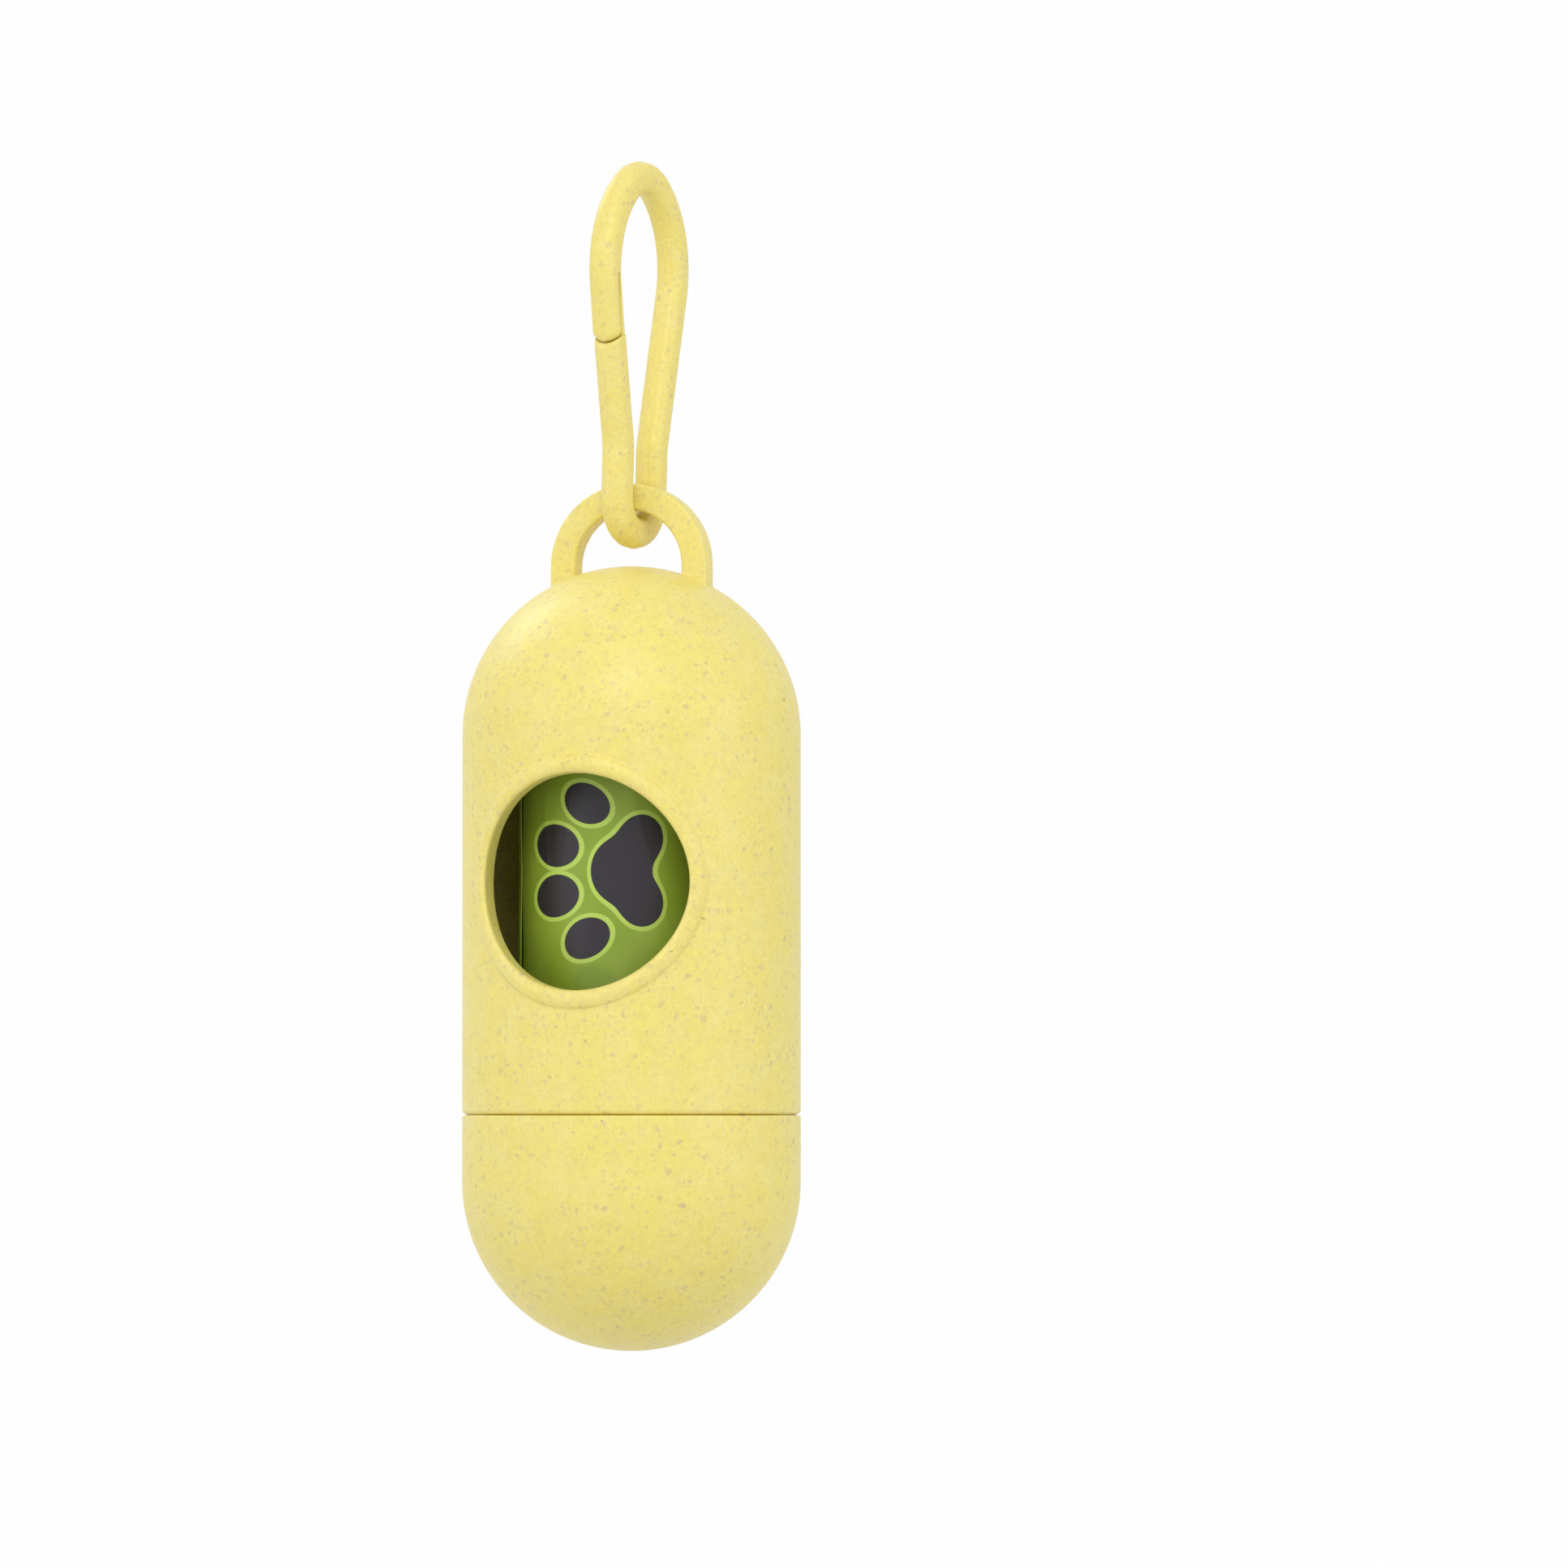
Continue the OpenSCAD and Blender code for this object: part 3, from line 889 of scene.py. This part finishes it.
@dataclass
class Clip:
    """The snap clip: a flat round-edged strand bent in one plane.

    The plane's axes are u, across the clip towards the gate, and z. Along the straight
    side with the gate, s runs up from the place where the gate flexes, and n outwards.
    Where nose and tongue lap, face and back are places along n.
    """

    top: float = 140.7
    width: float = 3.8
    thickness: float = 3.4
    rounding: float = 1.35
    whole_width: float = 20.4
    widest_depth: float = 12.8
    bend_radius: float = 5.4
    slope: float = 12.0
    eye_radius: float = 4.1
    eye_z: float = 100.8
    waist_radius: float = 8.0
    yaw: float = 9.3
    lean: float = 1.4
    lean_foot: float = 89.9
    flex_z: float = 107.5
    nose_z: float = 119.1
    tip_z: float = 127.0
    join_s: float = -1.2
    flex_end_s: float = 4.0
    lap_play: float = 0.25
    crown: float = 1.1
    line: float = 0.1
    nose_face: tuple[float, ...] = (-0.6, -1.35)
    nose_draw: tuple[float, float] = (0.35, 0.25)
    tongue_face: tuple[float, ...] = (-0.85, -1.62)
    tongue_back: float = -2.05
    tongue_shares: tuple[float, ...] = (1, 0.72, 0.66)
    tongue_close: float = 0.5
    step_bevel: float = 0.25

    def __post_init__(self) -> None:
        """Works out the centres of the bends, which meet without a corner."""
        self.bend_z = self.top - self.width / 2 - self.bend_radius
        widest = (self.whole_width - self.width) / 2
        self.widest_z = self.top - self.widest_depth
        drop = self.bend_z - self.widest_z
        self.flank_radius = ((widest**2 + drop**2 - self.bend_radius**2)
                             / (2 * (widest - self.bend_radius)))
        self.flank_u = widest - self.flank_radius
        self.flank_angle = math.degrees(math.atan2(drop, -self.flank_u))
        slope = math.radians(self.slope)
        self.side_u = self.flank_u + self.flank_radius * math.cos(slope)
        self.side_z = self.widest_z - self.flank_radius * math.sin(slope)
        foot_z = self.side_z - (self.side_u - self.eye_radius) / math.tan(slope)
        self.waist_z = foot_z - self.waist_radius * math.tan(slope / 2)
        self.waist_u = self.eye_radius + self.waist_radius
        self.flex_u = self.side_u - (self.side_z - self.flex_z) * math.tan(slope)
        self.waist_s = ((self.waist_z + self.waist_radius * math.sin(slope) - self.flex_z)
                        / math.cos(slope))
        self.nose_s = (self.nose_z - self.flex_z) / math.cos(slope)
        self.tip_s = (self.tip_z - self.flex_z) / math.cos(slope)

    def world(self, u: np.ndarray, z: np.ndarray, through: np.ndarray) -> np.ndarray:
        """Points from the clip's plane, a distance through it, in the frame's axes."""
        turn, lean = math.radians(-90 - self.yaw), math.radians(self.lean)
        x = u * math.cos(turn) + through * math.sin(turn)
        y = u * math.sin(turn) - through * math.cos(turn)
        above = z - self.lean_foot
        leaning = x * math.cos(lean) + above * math.sin(lean)
        height = self.lean_foot + above * math.cos(lean) - x * math.sin(lean)
        return np.stack(np.broadcast_arrays(leaning, y, height), axis=-1)

    def side_point(self, s: np.ndarray, n: np.ndarray, through: np.ndarray) -> np.ndarray:
        """Points from their place along the side with the gate, which bends at the waist."""
        slope = math.radians(self.slope)
        tilt = slope + np.minimum(s - self.waist_s, 0) / self.waist_radius
        straight = np.maximum(s, self.waist_s)
        u = (self.flex_u + straight * math.sin(slope) + n * np.cos(tilt)
             + self.waist_radius * (math.cos(slope) - np.cos(tilt)))
        z = (self.flex_z + straight * math.cos(slope) - n * np.sin(tilt)
             + self.waist_radius * (np.sin(tilt) - math.sin(slope)))
        return self.world(u, z, through)

    def bend(self, centre: Sequence[float], radius: float, start: float, end: float,
             steps: int) -> np.ndarray:
        """Stations on a bend: u, z and heading in degrees."""
        angle = np.linspace(start, end, steps + 1)
        heading = angle + 90 * math.copysign(1, end - start)
        return np.column_stack([arc(centre, radius, start, end, steps), heading])

    def straight(self, first: Sequence[float], last: Sequence[float], heading: float,
                 steps: int) -> np.ndarray:
        """Stations between two places, without the places themselves."""
        share = np.linspace(0, 1, steps + 1)[1:-1, None]
        between = np.array(first)[None, :2] * (1 - share) + np.array(last)[None, :2] * share
        return np.column_stack([between, np.full(len(between), heading)])

    def path(self) -> np.ndarray:
        """Stations along the hook, from its join with the gate round to the nose."""
        slope = self.slope
        join = slope + math.degrees((self.join_s - self.waist_s) / self.waist_radius)
        waist = self.bend((self.waist_u, self.waist_z), self.waist_radius, 180 - join, 180, 3)
        eye = self.bend((0, self.eye_z), self.eye_radius, 0, -180, 48)
        back_waist = self.bend((-self.waist_u, self.waist_z), self.waist_radius, 0, slope, 8)
        back = self.bend((-self.flank_u, self.widest_z), self.flank_radius, 180 + slope,
                         180 - self.flank_angle, 24)
        top = self.bend((0, self.bend_z), self.bend_radius, 180 - self.flank_angle,
                        self.flank_angle, 56)
        front = self.bend((self.flank_u, self.widest_z), self.flank_radius, self.flank_angle,
                          -slope, 40)
        nose_length = (self.side_z - self.nose_z) / math.cos(math.radians(slope))
        drop = nose_length * np.sin(np.linspace(0, math.pi / 2, 27)[1:])
        nose = np.column_stack([self.side_u - drop * math.sin(math.radians(slope)),
                                self.side_z - drop * math.cos(math.radians(slope)),
                                np.full(len(drop), 270 - slope)])
        return np.concatenate([
            waist, self.straight(waist[-1], eye[0], 270, 8), eye,
            self.straight(eye[-1], back_waist[0], 90, 8), back_waist,
            self.straight(back_waist[-1], back[0], 90 + slope, 30), back, top[1:], front[1:], nose,
        ])

    def hook(self) -> bpy.types.Object:
        """The hook: the strand's section carried along its path to the nose.

        On the nose the inner side is cut back along a slant for the tip of the gate,
        and the last stretch closes in an ellipse, which rounds the end.
        """
        path = self.path()
        u, z, heading = path[:, 0], path[:, 1], np.radians(path[:, 2])
        on_nose = (u > 0) & (z > self.nose_z - 1) & (np.arange(len(u)) > len(u) // 2)
        slant = np.interp(z, [self.nose_z, self.tip_z - 0.1, self.tip_z + 0.25],
                          [*self.nose_face, -self.width / 2])
        low = np.where(on_nose, slant, -self.width / 2)
        left = (z - self.nose_z) / math.cos(math.radians(self.slope))
        close = np.sqrt(np.clip(1 - (1 - np.clip(left / self.crown, 0, 1)) ** 2, 0, 1))
        half = self.thickness / 2 * np.where(on_nose, np.maximum(close, 0.06), 1)
        high = np.full_like(u, self.width / 2)
        high = high - np.where(on_nose, (1 - close) * self.nose_draw[0], 0)
        low = low + np.where(on_nose, (1 - close) * self.nose_draw[1], 0)
        across, through = rounded_ring(low, high, half, self.rounding, self.line)
        pu = u[:, None] - across * np.sin(heading)[:, None]
        pz = z[:, None] + across * np.cos(heading)[:, None]
        draft = Draft()
        index = draft.points(self.world(pu, pz, through))
        draft.skin(index)
        middle = self.world(pu.mean(axis=1), pz.mean(axis=1), np.zeros(len(u)))
        for end in (0, -1):
            draft.fan(index[end], middle[end])
        return draft.build("clip_loop")

    def gate(self) -> bpy.types.Object:
        """The gate: a straight bar from the join, stepped down to a thin slanting tip.

        The step is hollow, as the round end of the nose needs: its points move up the
        gate towards the edges by the same ellipse that closes the nose.
        """
        step = self.nose_s - self.lap_play
        s = np.concatenate([
            np.linspace(self.join_s, step - 1, 34),
            step + np.array([-0.7, -0.4, -0.2, -0.08, 0.0, 0.02, 0.06, 0.12, 0.3, 0.6]),
            np.linspace(step + 1.2, self.tip_s - self.tongue_close, 14),
            self.tip_s - self.tongue_close * (1 - np.sin(np.linspace(0.15, math.pi / 2, 8))),
        ])
        half_width = self.width / 2
        tongue = np.interp(s, [step + 0.12, self.tip_s], self.tongue_face)
        down = smooth_step(s, step - 0.02, step + 0.12)
        high = half_width * (1 - down) + tongue * down
        high = high - self.step_bevel * smooth_step(s, step - 0.5, step) * (1 - down)
        low = np.interp(s, [step + 1.5, self.tip_s], [-half_width, self.tongue_back])
        share = np.interp(s, [step - 0.1, step + 0.3, self.tip_s], self.tongue_shares)
        half = share * self.thickness / 2
        closing = np.sqrt(np.clip((self.tip_s - s) / self.tongue_close, 0.02, 1))
        middle = (high + low) / 2
        high = middle + (high - middle) * closing
        low = middle + (low - middle) * closing
        across, through = rounded_ring(low, high, half, self.rounding, self.line)
        spread = np.clip(np.abs(through) / (self.thickness / 2 + 0.08), 0, 1)
        rise = self.crown * (1 - np.sqrt(1 - spread**2))
        near = smooth_step(s, step - 2.5, step - 0.2) * smooth_step(s, step + 2.8, step + 0.3)
        along = s[:, None] + rise * near[:, None]
        draft = Draft()
        index = draft.points(self.side_point(along, across, through))
        draft.skin(index)
        ends = self.side_point(s, middle, np.zeros_like(s))
        for end in (0, -1):
            draft.fan(index[end], ends[end])
        return draft.build("gate_arm")

    def pieces(self, plastic: bpy.types.Material) -> list[bpy.types.Object]:
        """Builds and dresses the hook, and gives the gate its material; the gate is left rigid."""
        hook = dress(self.hook(), Body.CLIP, Slot.CLIP, plastic, "clip_hook")
        gate = self.gate()
        gate.data.materials.append(plastic)
        start, end = (self.side_point(np.array(s), np.array(0.0), np.array(0.0)) * MM
                      for s in (self.join_s + 0.1, self.flex_end_s))
        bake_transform(gate)
        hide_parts("clip_gate")
        return [hook, gate]


# ---------------------------------------------------------------------------
# Bag roll
# ---------------------------------------------------------------------------


@dataclass
class BagRoll:
    """The roll: a card core, the wound strip and the printed outer bag."""

    radius: float = 13.3
    length: float = 64.3
    low: float = 7.9
    core_radius: float = 5.25
    core_wall: float = 1.0
    core_proud: float = 0.4
    film: float = 0.3
    flap_span: tuple[float, float] = (-122.0, -56.0)
    flap_inset: float = 2.0
    flap_film: float = 0.12
    end_round: float = 0.7
    crease_count: int = 150
    columns: int = 320
    rows: int = 170
    seed: int = 4

    def core(self) -> bpy.types.Object:
        """The core: a tube whose cut ends are slightly ragged."""
        low = self.low + self.core_proud
        heights = np.array([low, low + 1, low + self.length - 1, low + self.length])
        bore = self.core_radius - self.core_wall
        section = np.column_stack([np.repeat([self.core_radius, bore], len(heights)),
                                   np.concatenate([heights, heights[::-1]])])
        angle = np.linspace(0, TURN, 120, endpoint=False)
        rng = np.random.default_rng(self.seed)
        ragged = -0.12 * rng.random(len(angle))
        z = np.repeat(section[:, 1:], len(angle), axis=1)
        z[3:5] += ragged
        draft = Draft()
        index = draft.points(around(section[:, :1], angle[None, :], z))
        draft.skin(np.concatenate([index, index[:1]]))
        return draft.build("card_core", crease=30)

    def creases(self, across: np.ndarray, up: np.ndarray) -> np.ndarray:
        """Height of the film's creases and slack over the roll.

        Slow waves run round the roll. On them lie creases: straight ridges with a soft
        cross section, that fade towards both ends, and are densest near the foot.

        Args:
            across: Distance round the roll in millimetres.
            up: Height from the foot of the roll in millimetres.

        Returns:
            Heights in millimetres, from about -0.2 to 0.
        """
        rng = np.random.default_rng(self.seed)
        girth = TURN * self.radius
        turn = across / self.radius
        relief = 0.05 * np.sin(5 * turn + 0.6) + 0.035 * np.sin(9 * turn + 0.03 * up + 2)
        relief += 0.02 * np.sin(17 * turn - 0.08 * up)
        for number in range(self.crease_count):
            low_down = number % 3 != 0
            x = rng.uniform(0, girth)
            z = rng.uniform(0, 14) if low_down else rng.uniform(0, self.length)
            lean = rng.uniform(0.5, 1.2) if low_down else rng.uniform(1.2, 1.9)
            length = rng.uniform(2.5, 7) if low_down else rng.uniform(5, 16)
            width = rng.uniform(0.25, 0.55)
            height = rng.uniform(0.04, 0.13) * (1 if low_down else 0.4)
            dx = (across - x + girth / 2) % girth - girth / 2
            dz = up - z
            along = dx * math.cos(lean) + dz * math.sin(lean)
            aside = dz * math.cos(lean) - dx * math.sin(lean)
            fade = np.clip(1 - (along / length) ** 2, 0, 1)
            relief += height * fade * np.exp(-(aside / width) ** 2)
        return -0.04 * np.log1p(np.exp((0.16 - relief) / 0.04))

    def outer_bag(self) -> bpy.types.Object:
        """The outer bag: creased film round the roll, turned in over both ends."""
        angle = np.linspace(-math.pi, math.pi, self.columns, endpoint=False)
        up = np.linspace(0, self.length, self.rows)
        across, height = np.meshgrid(angle * self.radius, up)
        radius = self.radius + self.creases(across, height)
        edge = np.minimum(up, self.length - up)[:, None]
        level = 1 - np.clip(edge / self.end_round, 0, 1)
        inset = self.end_round * (1 - np.sqrt(np.clip(1 - level**2, 0, 1)))
        ragged = 0.12 * np.sin(7 * angle + 1) + 0.08 * np.sin(23 * angle)
        at_end = np.clip(1 - edge / 2, 0, 1)
        radius = radius - inset
        z = self.low + height + at_end * ragged * np.where(up < self.length / 2, 1, -1)[:, None]
        draft = Draft()
        flat = np.stack([across, height], axis=-1)
        outside = draft.points(around(radius, angle[None, :], z), flat)
        thin = np.maximum(radius - self.film, self.radius - 0.9)[::-1]
        inside = draft.points(around(thin, angle[None, :], z[::-1]), flat[::-1])
        draft.skin(np.concatenate([outside, inside, outside[:1]]))
        return draft.build("outer_bag", crease=60)

    def flap(self) -> bpy.types.Object:
        """The loose end of the outer bag: one more layer of film over part of the roll.

        It leaves the roll's surface without a step, and stands off it towards its free
        edge, which is wavy.
        """
        start, end = (math.radians(angle) for angle in self.flap_span)
        share = np.linspace(0, 1, 56)[None, :]
        up = np.linspace(self.flap_inset, self.length - self.flap_inset, self.rows)[:, None]
        wave = 0.6 * np.sin(0.21 * up + 0.4) + 0.4 * np.sin(0.47 * up + 1.1)
        angle = start + (end - start + 0.035 * wave) * share
        across, height = np.broadcast_arrays(angle * self.radius, up)
        lift = 0.05 * smooth_step(share, 0, 0.15)
        lift = lift + (0.3 + 0.16 * wave) * smooth_step(share, 0.55, 1)
        radius = self.radius - 0.08 + 0.9 * self.creases(across, height) + lift
        draft = Draft()
        flat = np.stack([across, height], axis=-1)
        z = self.low + height
        upper = draft.points(around(radius, angle, z), flat)
        under = around(radius - self.flap_film, angle, z)
        lower = draft.points(under[:, ::-1], flat[:, ::-1])
        ring = np.concatenate([upper, lower], axis=1)
        draft.skin(ring)
        for row in (ring[0], ring[-1]):
            half = len(row) // 2
            draft.skin(np.stack([row[:half], row[:half - 1:-1]]), closed=False)
        return draft.build("bag_flap", crease=60)

    def winding(self) -> bpy.types.Object:
        """The wound strip: ends with a fine edge for each few turns of film."""
        radius_out = self.radius - self.film - 0.15
        radius_in = self.core_radius + 0.05
        steps = 61
        radius = np.linspace(radius_in, radius_out, steps)
        angle = np.linspace(0, TURN, 180, endpoint=False)
        rng = np.random.default_rng(self.seed + 1)
        phase = rng.uniform(0, TURN, steps)[:, None]
        edge = np.where(np.arange(steps) % 2 == 0, 0.0, -0.22)[:, None]
        edge = edge + 0.07 * np.sin(3 * angle[None, :] + phase) - 0.1
        top = self.low + self.length + edge
        foot = self.low - edge[::-1]
        draft = Draft()
        upper = draft.points(around(radius[:, None], angle[None, :], top))
        lower = draft.points(around(radius[::-1, None], angle[None, :], foot))
        draft.skin(np.concatenate([upper, lower, upper[:1]]))
        return draft.build("bag_winding", crease=30)

    def pieces(self, film: bpy.types.Material, plain: bpy.types.Material,
               card: bpy.types.Material) -> list[bpy.types.Object]:
        """Builds and dresses the roll."""
        return [
            dress(self.core(), Body.CORE, Slot.CORE, card, "roll_core"),
            dress(self.winding(), Body.BAGS, Slot.FILM, plain, "wound_bags"),
            dress(self.outer_bag(), Body.BAGS, Slot.FILM, film, "first_bag"),
            dress(self.flap(), Body.BAGS, Slot.FILM, film, "first_bag"),
        ]


# ---------------------------------------------------------------------------
# Studio
# ---------------------------------------------------------------------------


@dataclass(frozen=True)
class Lamp:
    """A soft square lamp: its name, its place and size in metres, and its power in watts."""

    name: str
    place: tuple[float, float, float]
    size: float
    power: float

    def hang(self, aim: Sequence[float]) -> None:
        """Adds the lamp to the scene, facing a place in metres."""
        data = bpy.data.lights.new(self.name, "AREA")
        data.shape = "SQUARE"
        data.size = self.size
        data.energy = self.power
        lamp = bpy.data.objects.new(self.name, data)
        lamp.location = self.place
        way = Vector(aim) - Vector(self.place)
        lamp.rotation_euler = way.to_track_quat("-Z", "Y").to_euler()
        bpy.context.scene.collection.objects.link(lamp)


@dataclass
class Studio:
    """A white sweep, soft lamps and the camera at the photograph's viewing angle.

    The photograph is 1932 pixels square, and the capsule's axis is at axis_pixel in it.
    Lengths are in millimetres, but those of the floor, the sweep and the lamps in metres.
    The glow is the share of the sweep's own white in what the camera sees of it.
    """

    picture: int = 1932
    axis_pixel: float = 778.2
    base_pixel: float = 1664.0
    pixels_per_mm: float = 10.425
    azimuth: float = 18.7
    distance: float = 1200.0
    eye_height: float = 28.0
    sensor: float = 36.0
    ambient: float = 0.745
    floor_below: float = 0.010
    floor_front: float = -1.6
    floor_back: float = 0.8
    floor_half: float = 2.4
    sweep_bend: float = 0.5
    sweep_top: float = 2.2
    glow: float = 0.96
    lamp_aim: tuple[float, float, float] = (0, 0, 0.07)
    lamps: tuple[Lamp, ...] = (
        Lamp("key_lamp", (0.24, -0.78, 0.68), 0.5, 2.3),
        Lamp("left_box", (-0.68, -0.78, 0.36), 0.4, 0.95),
        Lamp("right_box", (1.05, -0.21, 0.26), 0.4, 1.2),
        Lamp("sheen_lamp", (-0.78, 0.34, 0.82), 0.4, 1.8),
    )

    def camera(self) -> None:
        """Places the camera so that the capsule lies where the photograph has it."""
        turn = math.radians(self.azimuth)
        right = np.array([math.cos(turn), math.sin(turn), 0])
        back = np.array([math.sin(turn), -math.cos(turn), 0])
        middle = self.picture / 2
        aside = (middle - self.axis_pixel) / self.pixels_per_mm
        aim_z = (self.base_pixel - middle) / self.pixels_per_mm
        aim = right * aside + np.array([0, 0, aim_z])
        eye = right * aside + back * self.distance + np.array([0, 0, self.eye_height])
        data = bpy.data.cameras.new("camera")
        data.sensor_width = self.sensor
        data.lens = self.sensor * self.distance * self.pixels_per_mm / self.picture
        data.clip_start = 0.05
        data.clip_end = 20
        camera = bpy.data.objects.new("camera", data)
        camera.location = Vector(eye * MM)
        camera.rotation_euler = Vector((aim - eye) * MM).to_track_quat("-Z", "Y").to_euler()
        bpy.context.scene.collection.objects.link(camera)
        bpy.context.scene.camera = camera

    def world(self) -> None:
        """An even white sky, dimmer where it lights the part than where it is seen."""
        world = bpy.data.worlds.new("studio")
        world.use_nodes = True
        bpy.context.scene.world = world
        tree = world.node_tree
        tree.nodes.clear()
        path = tree.nodes.new("ShaderNodeLightPath")
        seen = tree.nodes.new("ShaderNodeBackground")
        lit = tree.nodes.new("ShaderNodeBackground")
        lit.inputs["Strength"].default_value = self.ambient
        for background in (seen, lit):
            background.inputs["Color"].default_value = (1, 1, 1, 1)
        mix = tree.nodes.new("ShaderNodeMixShader")
        output = tree.nodes.new("ShaderNodeOutputWorld")
        link = tree.links.new
        shown = path.outputs["Is Camera Ray"]
        for ray in ("Is Glossy Ray", "Is Transmission Ray"):
            either = tree.nodes.new("ShaderNodeMath")
            either.operation = "MAXIMUM"
            link(shown, either.inputs[0])
            link(path.outputs[ray], either.inputs[1])
            shown = either.outputs[0]
        link(shown, mix.inputs[0])
        link(lit.outputs[0], mix.inputs[1])
        link(seen.outputs[0], mix.inputs[2])
        link(mix.outputs[0], output.inputs[0])

    def sweep(self) -> bpy.types.Object:
        """The floor, curving up into a backdrop behind the part, square to the camera.

        The part hangs by its clip just above the floor, so that the cap can drop.
        """
        line = np.concatenate([
            [[self.floor_front, 0.0], [self.floor_back, 0.0]],
            arc((self.floor_back, self.sweep_bend), self.sweep_bend, -90, 0, 16)[1:],
            [[self.floor_back + self.sweep_bend, self.sweep_top]],
        ])
        turn = math.radians(self.azimuth)
        away = np.array([-math.sin(turn), math.cos(turn)])
        right = np.array([math.cos(turn), math.sin(turn)])
        grid = np.zeros((len(line), 2, 3))
        for column, side in enumerate((-self.floor_half, self.floor_half)):
            grid[:, column, :2] = line[:, :1] * away + right * side
            grid[:, column, 2] = line[:, 1] - self.floor_below
        draft = Draft()
        draft.skin(draft.points(grid / MM), closed=False)
        sweep = draft.build("studio_sweep")
        if sweep.data.polygons[0].normal.z < 0:
            sweep.data.flip_normals()
        sweep.data.materials.append(self.sweep_paint())
        return sweep

    def sweep_paint(self) -> bpy.types.Material:
        """White paint that shows as white to the camera and keeps a share of the shadow."""
        shader = Shader("sweep_paint")
        path = shader.node("ShaderNodeLightPath")
        seen = Value(shader, path.outputs["Is Camera Ray"])
        seen = seen.highest(Value(shader, path.outputs["Is Glossy Ray"]))
        seen = seen.highest(Value(shader, path.outputs["Is Transmission Ray"]))
        glow = shader.node("ShaderNodeEmission", None, {"Color": (1, 1, 1), "Strength": 1.0})
        shader.dress(Base_Color=(0.8, 0.8, 0.8), Roughness=1.0, Specular_IOR_Level=0.0)
        mix = shader.node("ShaderNodeMixShader", None,
                          {0: seen * self.glow, 1: shader.surface.outputs[0], 2: glow.outputs[0]})
        shader.feed(shader.output.inputs[0], mix.outputs[0])
        return shader.material

    def build(self) -> None:
        """Sets up camera, lamps, sky and sweep."""
        self.camera()
        for lamp in self.lamps:
            lamp.hang(self.lamp_aim)
        self.world()
        self.sweep()
        bpy.context.scene.view_settings.view_transform = "Standard"


def main() -> None:
    """Builds the part's pieces in order, then the studio round them."""
    logging.basicConfig(level=logging.INFO, format="%(name)s: %(message)s")
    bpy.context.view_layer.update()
    shell_plastic = StrawPlastic("straw_shell").make()
    clip_plastic = StrawPlastic("straw_clip", base=(0.905, 0.765, 0.17)).make()
    paws = (PawPrint(0.6, 48.5), PawPrint(33.0, 16.0), PawPrint(-34.0, 22.0), PawPrint(52.0, 52.0))
    ghosts = (PawPrint(2.0, 27.0), PawPrint(24.0, 41.0), PawPrint(-55.0, 50.0))
    film = BagFilm("printed_film", prints=paws, ghosts=ghosts).make()
    plain = BagFilm("plain_film").make()
    card = Card("wound_card").make()
    Case().pieces(shell_plastic)
    Cap().pieces(shell_plastic)
    Clip().pieces(clip_plastic)
    BagRoll().pieces(film, plain, card)
    Studio().build()


if __name__ == "__main__":
    main()
